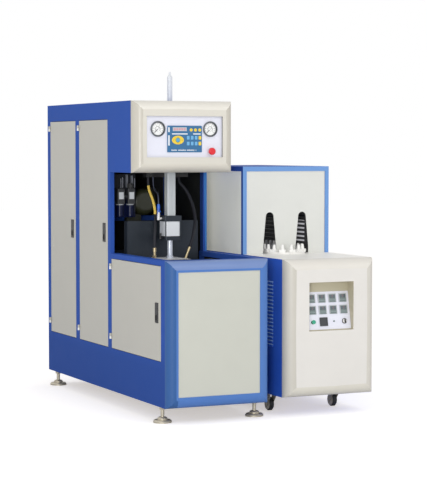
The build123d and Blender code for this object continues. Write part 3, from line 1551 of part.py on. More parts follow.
for side, x in castors:
    swivel = fork(x, castor_front_y, swivel_gap)
    swivel = swivel + rod(kingpin_radius, castor_plate_bottom - swivel_gap - crown_thickness,
                          heater_bottom + heater_sheet + swivel_gap, (x, castor_front_y), "Z")
    swivel = swivel + rod(kingpin_radius * 1.8, heater_bottom + heater_sheet + swivel_gap,
                          heater_bottom + heater_sheet + swivel_gap + kingpin_head, (x, castor_front_y), "Z")
    save(f"{side}_castor_fork", swivel)
    save(f"front_{side}_wheel", castor_wheel(x, castor_front_y))
    save(f"rear_{side}_wheel", castor_wheel(x, castor_back_y))
save("rear_castor_forks", group([fork(x, castor_back_y, 0) for side, x in castors]))
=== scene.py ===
import json
import math
from collections import namedtuple

import bpy
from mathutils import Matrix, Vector


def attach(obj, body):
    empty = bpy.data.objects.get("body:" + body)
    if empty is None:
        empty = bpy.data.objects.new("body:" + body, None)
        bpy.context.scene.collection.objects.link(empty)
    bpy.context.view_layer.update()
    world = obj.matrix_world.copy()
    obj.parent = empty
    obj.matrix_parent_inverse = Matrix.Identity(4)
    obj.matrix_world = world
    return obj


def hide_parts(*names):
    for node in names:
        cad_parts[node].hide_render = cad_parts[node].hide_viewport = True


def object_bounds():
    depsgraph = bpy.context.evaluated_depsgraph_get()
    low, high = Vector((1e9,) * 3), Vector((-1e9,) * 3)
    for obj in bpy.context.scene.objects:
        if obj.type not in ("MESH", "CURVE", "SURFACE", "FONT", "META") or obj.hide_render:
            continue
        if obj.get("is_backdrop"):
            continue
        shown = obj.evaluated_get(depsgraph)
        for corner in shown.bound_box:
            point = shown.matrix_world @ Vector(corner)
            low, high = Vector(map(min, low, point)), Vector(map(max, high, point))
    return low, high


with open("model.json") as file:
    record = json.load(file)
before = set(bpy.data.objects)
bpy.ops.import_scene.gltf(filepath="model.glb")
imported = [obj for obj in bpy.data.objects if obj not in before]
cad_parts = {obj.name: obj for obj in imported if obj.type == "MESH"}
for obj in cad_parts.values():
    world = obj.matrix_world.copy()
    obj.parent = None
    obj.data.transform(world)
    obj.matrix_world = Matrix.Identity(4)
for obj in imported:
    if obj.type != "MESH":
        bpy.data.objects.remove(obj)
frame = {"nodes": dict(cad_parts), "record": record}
nodes = frame["nodes"]
bodies = {name: body for body, names in frame["record"]["behaviour"]["bodies"].items() for name in names}
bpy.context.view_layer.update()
scene = bpy.context.scene
MM = 0.001

# The blowing unit's left front corner on the floor. Places are in millimetres from it: to the right, back and up.
CORNER = Vector((-0.6112, -0.9035, 0.0))

FRONT, UP = (0, -1, 0), (0, 0, 1)


def at(x, y, z):
    """The world's place for one in millimetres from the corner."""
    return CORNER + Vector((x, y, z)) * MM


def from_corner(place):
    """A place of the world, in millimetres from the corner."""
    return (place - CORNER) / MM


def spots_of(name):
    """The corners of a CAD node's mesh, in millimetres from the corner."""
    return [from_corner(vertex.co) for vertex in nodes[name].data.vertices]


# Camera, fitted to the photograph's edges
YAW, PITCH = math.radians(24.728), math.radians(3.319)
camera = bpy.data.objects.new("camera", bpy.data.cameras.new("camera"))
scene.collection.objects.link(camera)
scene.camera = camera
camera.data.sensor_width = 36.0
camera.data.lens = 125.44
camera.data.clip_start = 0.1
camera.data.clip_end = 60.0
camera.location = (-4.2050, -9.3210, 1.4600)
camera.rotation_euler = (math.pi / 2 - PITCH, 0.0, -YAW)

# Materials

# Sockets of the Mix node, which has several of one name
MIX_FACTOR = 0
MIX_NUMBER_A, MIX_NUMBER_B, MIX_NUMBER_OUT = 2, 3, 0
MIX_COLOUR_A, MIX_COLOUR_B, MIX_COLOUR_OUT = 6, 7, 2


def set_inputs(node, values):
    for socket, value in values.items():
        node.inputs[socket].default_value = value


def new_node(tree, kind, values=None, **settings):
    """A shader node of a kind, with its settings and the values of its inputs."""
    node = tree.nodes.new("ShaderNode" + kind)
    for setting, value in settings.items():
        setattr(node, setting, value)
    set_inputs(node, values or {})
    return node


def link(tree, source, output, target, socket):
    tree.links.new(source.outputs[output], target.inputs[socket])


def new_material(name, values):
    material = bpy.data.materials.new(name)
    material.use_nodes = True
    tree = material.node_tree
    shader = tree.nodes["Principled BSDF"]
    set_inputs(shader, values)
    return material, tree, shader


def srgb(r, g, b):
    """Linear colour from the usual 0 to 255 values."""
    return tuple(v / 12.92 if v <= 0.04045 else ((v + 0.055) / 1.055) ** 2.4 for v in (r / 255, g / 255, b / 255))


CLOUD_SCALE, CLOUD_DETAIL = 9.0, 5.0
GLOSS_LOW, GLOSS_HIGH = 0.88, 1.12
COAT_ROUGHNESS = 0.12
GRAIN_DETAIL, GRAIN_DEPTH = 2.0, 0.0004


def finish_of(name, colour, rough, metal=0.0, coat=0.0, grain=0.0, grain_size=900.0, mottle=0.03, stretch=(1, 1, 1),
              glow=0.0, specular=0.5, fade=None):
    """A finish whose colour and gloss vary a little over the surface, with a fine grain in its relief.

    A fade is an axis, the places in metres where it starts and ends, and the colour beyond."""
    material, tree, shader = new_material(name, {
        "Base Color": (*colour, 1), "Roughness": rough, "Metallic": metal, "Coat Weight": coat,
        "Coat Roughness": COAT_ROUGHNESS, "Specular IOR Level": specular})
    place = new_node(tree, "TexCoord")
    scale = new_node(tree, "Mapping", {"Scale": stretch})
    link(tree, place, "Object", scale, "Vector")
    cloud = new_node(tree, "TexNoise", {"Scale": CLOUD_SCALE, "Detail": CLOUD_DETAIL})
    link(tree, scale, "Vector", cloud, "Vector")
    tone = new_node(tree, "Mix", {MIX_COLOUR_A: (*[c * (1 - mottle) for c in colour], 1),
                                  MIX_COLOUR_B: (*[min(1, c * (1 + mottle)) for c in colour], 1)}, data_type="RGBA")
    link(tree, cloud, "Fac", tone, MIX_FACTOR)
    if fade:
        axis, start, end, beyond = fade
        parts = new_node(tree, "SeparateXYZ")
        link(tree, place, "Object", parts, "Vector")
        ramp = new_node(tree, "MapRange", {"From Min": start, "From Max": end})
        link(tree, parts, axis, ramp, "Value")
        here, tone = tone, new_node(tree, "Mix", {MIX_COLOUR_B: (*beyond, 1)}, data_type="RGBA")
        link(tree, ramp, "Result", tone, MIX_FACTOR)
        link(tree, here, MIX_COLOUR_OUT, tone, MIX_COLOUR_A)
    link(tree, tone, MIX_COLOUR_OUT, shader, "Base Color")
    if glow:
        set_inputs(shader, {"Emission Strength": glow})
        link(tree, tone, MIX_COLOUR_OUT, shader, "Emission Color")
    gloss = new_node(tree, "MapRange", {"To Min": rough * GLOSS_LOW, "To Max": min(1, rough * GLOSS_HIGH)})
    link(tree, cloud, "Fac", gloss, "Value")
    link(tree, gloss, "Result", shader, "Roughness")
    if grain:
        fine = new_node(tree, "TexNoise", {"Scale": grain_size, "Detail": GRAIN_DETAIL})
        link(tree, scale, "Vector", fine, "Vector")
        relief = new_node(tree, "Bump", {"Strength": grain, "Distance": GRAIN_DEPTH})
        link(tree, fine, "Fac", relief, "Height")
        link(tree, relief, "Normal", shader, "Normal")
    return material


# Paints and mouldings of the blowing unit. Its frame is a little darker near the floor.
PAINT_BLUE = srgb(52, 88, 172)
blue = finish_of("blue_paint", PAINT_BLUE, 0.5, specular=0.03, grain=0.25)
frame_blue = finish_of("frame_blue", PAINT_BLUE, 0.5, specular=0.03, grain=0.25,
                       fade=("Z", 0.42, 0.28, srgb(47, 80, 156)))
# Painted light and shade of the right column: a lighter blue for its front, a darker blue for its left side
column_lit_blue = finish_of("column_lit_blue", srgb(66, 128, 200), 0.45, specular=0.15, grain=0.2)
column_shade_blue = finish_of("column_shade_blue", srgb(48, 80, 158), 0.45, specular=0.15, grain=0.2)
bezel_blue = finish_of("bezel_blue", srgb(80, 122, 190), 0.42, coat=0.2, specular=0.2, grain=0.2)
# Painted sheen on the front bezel's top roll, lighter than its blue; bezel_shade paints shade on its left roll
bezel_top_sheen = finish_of("bezel_top_sheen", srgb(116, 140, 190), 0.42, coat=0.3, specular=0.2, grain=0.2)
bezel_shade = finish_of("bezel_shade", srgb(56, 96, 154), 0.42, specular=0.2, grain=0.2)
side_grey = finish_of("side_grey", srgb(193, 191, 183), 0.48, coat=0.1, grain=0.3)
front_grey = finish_of("front_grey", srgb(198, 199, 189), 0.50, coat=0.1, grain=0.3)
cream = finish_of("cream", srgb(219, 215, 204), 0.42, coat=0.15, grain=0.15)
# Painted shade and light on the head bezel's rolled edges: a darker cream on the side rolls, a shade darker on the
# bottom roll, a lighter cream on the top roll
cream_roll_shade = finish_of("cream_roll_shade", srgb(200, 195, 183), 0.42, coat=0.15, grain=0.15)
cream_low_shade = finish_of("cream_low_shade", srgb(219, 214, 202), 0.42, coat=0.15, grain=0.15)
roll_top_light = finish_of("roll_top_light", srgb(230, 226, 216), 0.42, coat=0.15, grain=0.15)
# Painted shade on the walls of the head's recess, and a darker painted shadow under its top
recess_shade = finish_of("recess_shade", srgb(150, 150, 146), 0.5)
recess_shadow = finish_of("recess_shadow", srgb(92, 90, 86), 0.6, specular=0.1)
panel_white = finish_of("panel_white", srgb(231, 232, 244), 0.38, coat=0.15, grain=0.1)
# Painted shade for the inner faces of the covers and the head shell's underside, darker than their paint
inside_shade = finish_of("inside_painted_shade", srgb(44, 46, 46), 0.7, specular=0.1)

# Paints and mouldings of the heater
# A brighter copy of the blue paint: painted light on the heater cabinet's side, which lies in the shade between the
# machines
heater_lit_blue = finish_of("heater_lit_blue", srgb(48, 98, 206), 0.42, specular=0.2, grain=0.2)
# Painted highlight on the louvres' upward sloped faces
louvre_highlight_blue = finish_of("louvre_highlight_blue", srgb(160, 200, 250), 0.42, specular=0.2)
# A blue that glows a little: painted light behind the louvres
screen_glow_blue = finish_of("screen_glow_blue", srgb(36, 80, 172), 0.6, specular=0.1, glow=0.25)
oven_blue = finish_of("oven_blue", srgb(112, 156, 216), 0.42, coat=0.2, specular=0.2, grain=0.2)
oven_white = finish_of("oven_white", srgb(222, 223, 218), 0.5, coat=0.1, grain=0.3)
# A glowing white: painted light on the oven's side, which lies in the blowing unit's shadow
oven_side_glow = finish_of("oven_side_glow", srgb(238, 239, 232), 0.5, grain=0.3, glow=0.15)
# Painted light on the heater cabinet's top faces: a lighter white that glows a little
cabinet_top_lit = finish_of("cabinet_top_lit", srgb(240, 238, 233), 0.42, grain=0.15, glow=0.06)
heater_white = finish_of("heater_white", srgb(226, 223, 218), 0.42, coat=0.15, grain=0.15)
# Painted shade and light on the heater bezel's rolled edges: darker whites on the side and bottom rolls, and a top roll
# lighter than the side rolls
heater_roll_shade = finish_of("heater_roll_shade", srgb(214, 210, 201), 0.42, coat=0.15, grain=0.15)
heater_left_roll_shade = finish_of("heater_left_roll_shade", srgb(201, 197, 187), 0.42, coat=0.15, grain=0.15)
heater_top_light = finish_of("heater_top_light", srgb(225, 221, 213), 0.42, coat=0.15, grain=0.15)
heater_low_shade = finish_of("heater_low_shade", srgb(219, 215, 204), 0.42, coat=0.15, grain=0.15)
pocket_beige = finish_of("pocket_beige", srgb(194, 187, 163), 0.5)
reflector = finish_of("reflector", (0.05, 0.05, 0.055), 0.5)
dark_quartz = finish_of("dark_quartz", srgb(30, 30, 36), 0.6, specular=0.1)
# The lamps' tubes are lit at the oven's front and lie in the dark at its back
quartz = finish_of("quartz", srgb(214, 214, 218), 0.2, coat=0.3, glow=0.35,
                   fade=("Y", -0.28, -0.1, (0.005, 0.005, 0.006)))

# Metals
zinc = finish_of("zinc", (0.56, 0.51, 0.41), 0.42, metal=0.6, grain=0.2)
white_zinc = finish_of("white_zinc", srgb(240, 240, 236), 0.4, grain=0.2)
chrome = finish_of("chrome", (0.80, 0.81, 0.83), 0.10, metal=1.0)
dark_steel = finish_of("dark_steel", srgb(43, 50, 59), 0.42, metal=0.4, grain=0.3)
barrel_alloy = finish_of("barrel_alloy", srgb(226, 230, 234), 0.34, metal=0.15, stretch=(1, 1, 12), grain=0.1,
                         grain_size=140)
pale_alloy = finish_of("pale_alloy", srgb(194, 199, 202), 0.34, metal=0.25, stretch=(1, 1, 12), grain=0.1,
                       grain_size=140)
tube_alloy = finish_of("tube_alloy", srgb(226, 229, 233), 0.3)
rod_metal = finish_of("rod_metal", srgb(214, 220, 232), 0.24, metal=0.35)
rim_metal = finish_of("rim_metal", srgb(112, 116, 122), 0.25, metal=0.6)
mould_metal = finish_of("mould_metal", (0.60, 0.61, 0.63), 0.32, metal=1.0, grain=0.2)
brass = finish_of("brass", (0.50, 0.41, 0.25), 0.36, metal=1.0)
olive = finish_of("olive_paint", srgb(46, 49, 30), 0.42, coat=0.2, grain=0.3)

# Plastics, rubbers and prints
RUBBER_BLACK, HOSE_YELLOW = (0.022, 0.023, 0.03), srgb(246, 212, 104)
neck_white = finish_of("neck_white", srgb(240, 241, 244), 0.45)
black = finish_of("black_plastic", (0.018, 0.018, 0.02), 0.38, grain=0.3)
dark_grey = finish_of("dark_grey", srgb(58, 60, 64), 0.45, grain=0.3)
carrier_grey = finish_of("carrier_grey", srgb(34, 37, 44), 0.5, specular=0.2)
light_grey = finish_of("light_grey", srgb(190, 194, 198), 0.4)
rib_grey = finish_of("rib_grey", srgb(150, 154, 164), 0.4)
ring_grey = finish_of("ring_grey", srgb(40, 42, 48), 0.6)
hub_grey = finish_of("hub_grey", srgb(168, 160, 146), 0.45)
white = finish_of("white_plastic", srgb(244, 243, 240), 0.35)
dial_white = finish_of("dial_white", srgb(246, 247, 246), 0.4)
teal = finish_of("keypad_teal", srgb(40, 106, 154), 0.34, coat=0.3)
key_yellow = finish_of("key_yellow", srgb(238, 206, 66), 0.35)
key_blue = finish_of("key_blue", srgb(112, 178, 222), 0.35)
pad_blue = finish_of("pad_blue", srgb(86, 168, 214), 0.35)
pad_olive = finish_of("pad_olive", srgb(110, 120, 60), 0.45)
digit_pink = finish_of("digit_pink", srgb(214, 150, 160), 0.4)
red = finish_of("red_plastic", srgb(226, 24, 40), 0.28, coat=0.4)
green = finish_of("green_plastic", srgb(30, 160, 126), 0.30, coat=0.3)
meter_grey = finish_of("meter_grey", srgb(118, 132, 132), 0.38)
window_dark = finish_of("window_dark", srgb(84, 98, 104), 0.2, coat=0.5)
figure_red = finish_of("figure_red", srgb(150, 104, 108), 0.4)
key_grey = finish_of("key_grey", srgb(158, 172, 174), 0.4)
navy = finish_of("navy_bowl", srgb(18, 27, 66), 0.35, coat=0.1, specular=0.2)
blue_plastic = finish_of("blue_plastic", srgb(30, 96, 200), 0.3)
yellow_rubber = finish_of("yellow_rubber", HOSE_YELLOW, 0.42, mottle=0.06)
black_rubber = finish_of("black_rubber", RUBBER_BLACK, 0.5, mottle=0.1, specular=0.15)
grey_rubber = finish_of("grey_rubber", srgb(74, 80, 98), 0.4, specular=0.2)
rubber = finish_of("wheel_rubber", (0.02, 0.02, 0.02), 0.6, grain=0.3)
ink = finish_of("ink", (0.01, 0.01, 0.012), 0.5)
print_white = finish_of("print_white", srgb(232, 236, 240), 0.45)

# The yellow hose is bare over its middle, up to this far in metres from a height, and sleeved in black elsewhere
BARE_MIDDLE, BARE_REACH = 1.172, 0.08
sleeved, tree, shader = new_material("sleeved_yellow", {"Roughness": 0.45, "Specular IOR Level": 0.2})
place = new_node(tree, "TexCoord")
parts = new_node(tree, "SeparateXYZ")
link(tree, place, "Object", parts, "Vector")
bare = new_node(tree, "Math", {1: BARE_MIDDLE, 2: BARE_REACH}, operation="COMPARE")
link(tree, parts, "Z", bare, 0)
shade = new_node(tree, "Mix", {MIX_COLOUR_A: (*RUBBER_BLACK, 1), MIX_COLOUR_B: (*HOSE_YELLOW, 1)}, data_type="RGBA")
link(tree, bare, "Value", shade, MIX_FACTOR)
link(tree, shade, MIX_COLOUR_OUT, shader, "Base Color")


# Dressing the CAD nodes
def places_of(mesh):
    """For each face, the lowest and highest corner of the connected piece it belongs to."""
    key = {}
    parent = []

    def root(i):
        while parent[i] != i:
            parent[i] = parent[parent[i]]
            i = parent[i]
        return i

    index = []
    for vertex in mesh.vertices:
        spot = tuple(round(c * 1e5) for c in vertex.co)
        if spot not in key:
            key[spot] = len(parent)
            parent.append(len(parent))
        index.append(key[spot])
    for polygon in mesh.polygons:
        first = root(index[polygon.vertices[0]])
        for v in polygon.vertices[1:]:
            parent[root(index[v])] = first
    low, high = {}, {}
    for vertex, i in zip(mesh.vertices, index):
        r = root(i)
        low[r] = [min(a, b) for a, b in zip(low.get(r, vertex.co), vertex.co)]
        high[r] = [max(a, b) for a, b in zip(high.get(r, vertex.co), vertex.co)]
    roots = [root(index[polygon.vertices[0]]) for polygon in mesh.polygons]
    return [(Vector(low[r]), Vector(high[r])) for r in roots]


# What a rule looks at: a face's middle, its direction, and the lowest and highest corner of its connected piece, in
# millimetres from the corner
Face = namedtuple("Face", "x y z facing low high")


def dress(name, base, *rules):
    """Gives a CAD node its finish, and another to the faces that a rule picks. The last rule that fits counts."""
    mesh = nodes[name].data
    mesh.materials.clear()
    for material in (base, *[finish for finish, test in rules]):
        mesh.materials.append(material)
    for polygon in mesh.polygons:
        polygon.material_index = 0
    if not rules:
        return
    for polygon, (low, high) in zip(mesh.polygons, places_of(mesh)):
        face = Face(*from_corner(polygon.center), polygon.normal, from_corner(low), from_corner(high))
        for number, (finish, test) in enumerate(rules, 1):
            if test(face):
                polygon.material_index = number


STEEP = 0.7


def near(value, place, reach=2):
    return abs(value - place) < reach


def faces_front(face):
    return face.facing.y < -STEEP


def faces_left(face):
    return face.facing.x < -STEEP


def faces_up(face):
    return face.facing.z > STEEP


def faces_down(face):
    return face.facing.z < -STEEP


def rolled(face):
    """Whether the face lies behind its piece's flat front, as the rolled edges of a bezel do."""
    return face.y > face.low.y + 0.1


# The bezels' rolled edges meet at the corners in mitres of nearly 45 degrees
MITRE = 1.05


def in_bottom_edge(face):
    return face.z - face.low.z < min(face.x - face.low.x, face.high.x - face.x) * MITRE


def in_top_edge(face):
    return face.high.z - face.z < min(face.x - face.low.x, face.high.x - face.x) * MITRE


FOOT_NODES = ("front_left_foot", "front_right_foot", "rear_left_foot", "rear_right_foot")
PLAIN = (
    (panel_white, ("head_panel", "meter_panel")),
    (front_grey, ("front_panel",)),
    (side_grey, ("rear_door", "middle_door", "front_door")),
    (black, ("rear_latch", "middle_latch", "front_latch", "left_needle", "right_needle", "stop_body",
             "regulator_knob")),
    (red, ("stop_button",)),
    (green, ("start_button",)),
    (white, ("carrier_chain",)),
    (dark_grey, ("control_gear",)),
    (chrome, ("stretch_rod", "tie_bars")),
    (rod_metal, ("seal_rod",)),
    (dark_steel, ("front_platen", "clamp_cylinder")),
    (white_zinc, ("hinge_leaves",)),
    (zinc, ("left_castor_fork", "right_castor_fork", "rear_castor_forks", *FOOT_NODES)),
    (brass, ("service_ports",)),
    (olive, ("air_tank",)),
    (oven_white, ("oven_front",)),
    (yellow_rubber, ("yellow_hose",)),
    (black_rubber, ("black_hose",)),
    (grey_rubber, ("grey_hose",)),
)
for finish, names in PLAIN:
    for name in names:
        dress(name, finish)

# Frame: the rails on the mould bay's floor are steel. The right column's front is painted light in a lighter blue, and
# its left side is painted shade in a darker blue.
RAIL_BOTTOM, RAIL_TOP = 330.0, 355.0
COLUMN_LEFT, COLUMN_FRONT, COLUMN_FOOT = 576.0, 782.0, 860.0
HEAD_UNDERSIDE = 1335.0
dress("machine_frame", frame_blue,
      (dark_steel, lambda f: near(f.low.z, RAIL_BOTTOM, 5) and f.high.z < RAIL_TOP),
      (column_lit_blue, lambda f: faces_front(f) and near(f.y, COLUMN_FRONT) and f.x > COLUMN_LEFT - 6
       and f.z > COLUMN_FOOT),
      (column_shade_blue, lambda f: faces_left(f) and near(f.x, COLUMN_LEFT) and f.y > COLUMN_FRONT - 2
       and f.z > COLUMN_FOOT))
# The covers' inner faces and the head shell's underside are painted shade
dress("fixed_covers", side_grey, (inside_shade, lambda f: faces_left(f) or faces_front(f)))
dress("head_shell", blue, (inside_shade, lambda f: faces_down(f) and f.z < HEAD_UNDERSIDE))

# Bezels: the walls of the head's opening, then each rolled edge, then the heater's pocket
HEAD_LEFT, HEAD_RIGHT, HEAD_BOTTOM, HEAD_TOP = 90.0, 540.0, 1400.0, 1665.0
HEAD_SHADE, HEAD_ROLL = 1600.0, 1670.0
FRONT_ROLL_RIGHT, FRONT_ROLL_BOTTOM = 60.0, 790.0
HEATER_ROLL = 75.0
POCKET_LEFT, POCKET_RIGHT, POCKET_BOTTOM, POCKET_TOP = 800.0, 1110.0, 460.0, 740.0
# The head bezel: painted shade on the walls of its opening and a painted shadow under its top; painted shade on its
# side and bottom rolls, painted light on its top roll
dress("head_bezel", cream,
      (recess_shade, lambda f: abs(f.facing.y) < 0.3 and HEAD_LEFT < f.x < HEAD_RIGHT and HEAD_BOTTOM < f.z < HEAD_TOP),
      (recess_shadow, lambda f: faces_down(f) and HEAD_LEFT < f.x < HEAD_RIGHT and HEAD_SHADE < f.z < HEAD_TOP),
      (cream_roll_shade, lambda f: rolled(f) and not HEAD_LEFT <= f.x <= HEAD_RIGHT),
      (cream_low_shade, lambda f: rolled(f) and f.z < HEAD_BOTTOM and in_bottom_edge(f)),
      (roll_top_light, lambda f: rolled(f) and f.z > HEAD_ROLL and in_top_edge(f)))
# The front bezel's left roll gets painted shade and its top roll a painted sheen
dress("front_bezel", bezel_blue,
      (bezel_shade, lambda f: rolled(f) and f.x < FRONT_ROLL_RIGHT and f.high.z - f.z > f.x),
      (bezel_top_sheen, lambda f: rolled(f) and f.z > FRONT_ROLL_BOTTOM and in_top_edge(f)))
# The heater bezel's side and bottom rolls are painted shade, its top roll painted light
dress("heater_bezel", heater_white,
      (heater_roll_shade, lambda f: rolled(f) and f.x > POCKET_RIGHT),
      (heater_left_roll_shade, lambda f: rolled(f) and f.x < POCKET_LEFT),
      (heater_low_shade, lambda f: rolled(f) and f.z - f.low.z < HEATER_ROLL and in_bottom_edge(f)),
      (heater_top_light, lambda f: rolled(f) and f.high.z - f.z < HEATER_ROLL and in_top_edge(f)),
      (pocket_beige, lambda f: rolled(f) and POCKET_LEFT < f.x < POCKET_RIGHT and POCKET_BOTTOM < f.z < POCKET_TOP))

# The head's two dials
DIAL_XS, DIAL_Y, DIAL_Z = (141.0, 457.0), 423.5, 1570.0
DIAL_RADIUS = 37.6
dress("gauges", rim_metal,
      (dial_white, lambda f: faces_front(f) and DIAL_Y - 0.5 < f.y < DIAL_Y + 2
       and min(math.hypot(f.x - x, f.z - DIAL_Z) for x in DIAL_XS) < DIAL_RADIUS))

# The keypad: display, a row of yellow keys beside it, a column of them at the right, the round pad, and blue keys
KEYPAD_X, KEYPAD_Y, KEYPAD_Z = 301.0, 419.0, 1515.0
DISPLAY_LEFT, DISPLAY_RIGHT, TOP_ROW = 225.0, 315.0, 1552.0
TOP_KEYS_LEFT, YELLOW_COLUMN = 320.0, 380.0
PAD_RIGHT, LOWER_KEYS_TOP = 308.0, 1540.0


def on_key(face):
    """Whether the face is the front of a key or of the display, which stand proud of the keypad."""
    return faces_front(face) and face.y < KEYPAD_Y - 0.4


def yellow(face):
    in_row = face.x > TOP_KEYS_LEFT and face.z > TOP_ROW
    on_pad = face.x < PAD_RIGHT and face.z < LOWER_KEYS_TOP
    return in_row or on_pad or face.x > YELLOW_COLUMN


dress("keypad", teal,
      (light_grey, lambda f: on_key(f) and DISPLAY_LEFT < f.x < DISPLAY_RIGHT and f.z > TOP_ROW),
      (key_yellow, lambda f: on_key(f) and yellow(f)),
      (key_blue, lambda f: on_key(f) and PAD_RIGHT < f.x < YELLOW_COLUMN and f.z < LOWER_KEYS_TOP))

# Blowing head and mould clamp, on the axis where the mould stands
BLOW_X, BLOW_Y = 300.0, 626.0
BARREL_BOTTOM, BARREL_TOP = 970.0, 1053.0
HEAD_ROOF, ROD_GUIDE_RADIUS = 1700.0, 14.6
CLAMP_ROD_FRONT, CLAMP_ROD_TOP = 775.0, 680.0
NECK_PLATES = 830.0
dress("stretch_cylinder", pale_alloy,
      (tube_alloy, lambda f: f.z > HEAD_ROOF or math.hypot(f.x - BLOW_X, f.y - BLOW_Y) < ROD_GUIDE_RADIUS))
dress("seal_cylinder", barrel_alloy, (dark_steel, lambda f: f.z > BARREL_TOP - 3 or f.z < BARREL_BOTTOM + 1))
dress("moving_platen", dark_steel, (chrome, lambda f: f.y > CLAMP_ROD_FRONT and f.z < CLAMP_ROD_TOP))
for name in ("front_mould_half", "rear_mould_half"):
    dress(name, mould_metal, (neck_white, lambda f: f.low.z > NECK_PLATES or faces_up(f)))

# Filters: their carrier, the bowls and the tops. Fittings: sleeves, and the grey hose's elbow of two colours.
CARRIER_FRONT, BOWL_TOP, FILTER_TOPS = 940.0, 1160.0, 1290.0
CEILING_SLEEVES = 1270.0
SLEEVE_BOTTOM, SLEEVE_TOP = 930.0, 990.0
ELBOW_BOTTOM, ELBOW_JOINT = 1060.0, 1092.0
dress("air_filters", dark_grey,
      (carrier_grey, lambda f: f.y > CARRIER_FRONT),
      (navy, lambda f: f.z < BOWL_TOP),
      (light_grey, lambda f: f.z > FILTER_TOPS))
dress("hose_fittings", brass,
      (black, lambda f: f.low.z > CEILING_SLEEVES or f.low.z > SLEEVE_BOTTOM and f.high.z < SLEEVE_TOP),
      (blue_plastic, lambda f: near(f.low.z, ELBOW_BOTTOM, 10) and f.z > ELBOW_JOINT),
      (white, lambda f: near(f.low.z, ELBOW_BOTTOM, 10) and f.z < ELBOW_JOINT))

# The heater's cabinet and oven
LOUVRES_TOP, CABINET_TOP, CASTOR_PLATES = 800.0, 855.0, 105.5
SHEET, WALL = 5.0, 6.0
# The cabinet's brighter blue is painted light for its side in the shade between the machines
dress("heater_cabinet", heater_lit_blue,
      # painted highlight on the louvres' upward sloped faces
      (louvre_highlight_blue, lambda f: f.facing.x < -0.1 and f.facing.z > 0.15 and f.z < LOUVRES_TOP),
      # painted light on the cabinet's upward faces
      (cabinet_top_lit, lambda f: faces_up(f) and f.z > CABINET_TOP),
      (zinc, lambda f: f.z < CASTOR_PLATES))
# The oven frame's thin side sheets glow a little as painted light
dress("oven_frame", blue,
      (oven_side_glow, lambda f: f.high.x - f.low.x < SHEET or f.high.y - f.low.y < SHEET),
      (oven_blue, lambda f: faces_front(f) and f.high.y - f.low.y > WALL))

# The oven's two lanes, with lamps to both sides of each. The left lane's lamps and the topmost ones are off.
LEFT_LANE, RIGHT_LANE, LAMP_OFFSET = 865.4, 1073.4, 58.0
LAMP_FRONT, LAMP_BACK, LAMP_REACH, TOP_LAMP = 600.0, 1100.0, 6.0, 1047.0


def in_lamp(face, lane):
    beside = min(abs(face.x - lane - side * LAMP_OFFSET) for side in (-1, 1))
    return LAMP_FRONT < face.y < LAMP_BACK and beside < LAMP_REACH


dress("lamps", reflector,
      (quartz, lambda f: in_lamp(f, RIGHT_LANE)),
      (dark_quartz, lambda f: in_lamp(f, LEFT_LANE) or in_lamp(f, RIGHT_LANE) and f.z > TOP_LAMP))

# The controllers' frames are light. In the row below them are, from the left, the button's ring, a dark square piece
# and the key switch's collar.
METERS_BOTTOM, SWITCH_ROW_TOP = 560.0, 540.0
FRAME_INNER = 20.5
RING_RIGHT, SQUARE_LEFT, SQUARE_RIGHT, COLLAR_LEFT = 890.0, 900.0, 960.0, 1000.0
KEY_X, KEY_HALF = 1064.15, 3.0


def off_middle(face):
    """How far the face lies off the middle of its piece's front, to the side or up."""
    return max(abs(face.x - (face.low.x + face.high.x) / 2), abs(face.z - (face.low.z + face.high.z) / 2))


def in_switch_row(face):
    return face.high.z < SWITCH_ROW_TOP


dress("meters", meter_grey,
      (light_grey, lambda f: f.high.z > METERS_BOTTOM and off_middle(f) > FRAME_INNER),
      (dark_grey, lambda f: in_switch_row(f) and f.low.x > SQUARE_LEFT and f.high.x < SQUARE_RIGHT),
      (chrome, lambda f: in_switch_row(f) and f.high.x < RING_RIGHT),
      (black, lambda f: in_switch_row(f) and f.low.x > COLLAR_LEFT))
dress("key_switch", white, (black, lambda f: abs(f.x - KEY_X) < KEY_HALF))

# Castors
WHEEL_RADIUS, HUB_RADIUS = 37.5, 25.0
for name in ("front_left_wheel", "rear_left_wheel", "front_right_wheel", "rear_right_wheel"):
    corners = spots_of(name)
    axle = sum(corners, Vector()) / len(corners)
    dress(name, rubber, (hub_grey, lambda f: abs(f.facing.x) > STEEP
                         and math.hypot(f.y - axle.y, f.z - WHEEL_RADIUS) < HUB_RADIUS))


# Hoses
def hose(name, route, diameter, material):
    """A hose along a route of places, which is also the route of its solid in the frame."""
    data = bpy.data.curves.new(name, "CURVE")
    data.dimensions = "3D"
    data.bevel_depth = diameter / 2
    data.bevel_resolution = 5
    data.resolution_u = 10
    data.use_fill_caps = True
    spline = data.splines.new("NURBS")
    spline.points.add(len(route) - 1)
    for point, place in zip(spline.points, route):
        point.co = (*at(*place), 1.0)
    spline.order_u = 3
    spline.use_endpoint_u = True
    piece = bpy.data.objects.new(name, data)
    scene.collection.objects.link(piece)
    data.materials.append(material)
    return piece


bright = hose("yellow_hose_line", [(197, 606, 905), (197, 606, 955), (214, 636, 1036), (231, 676, 1106),
                                   (235, 710, 1160), (230, 744, 1206), (223, 761, 1243), (223, 761, 1300)],
              0.015, sleeved)
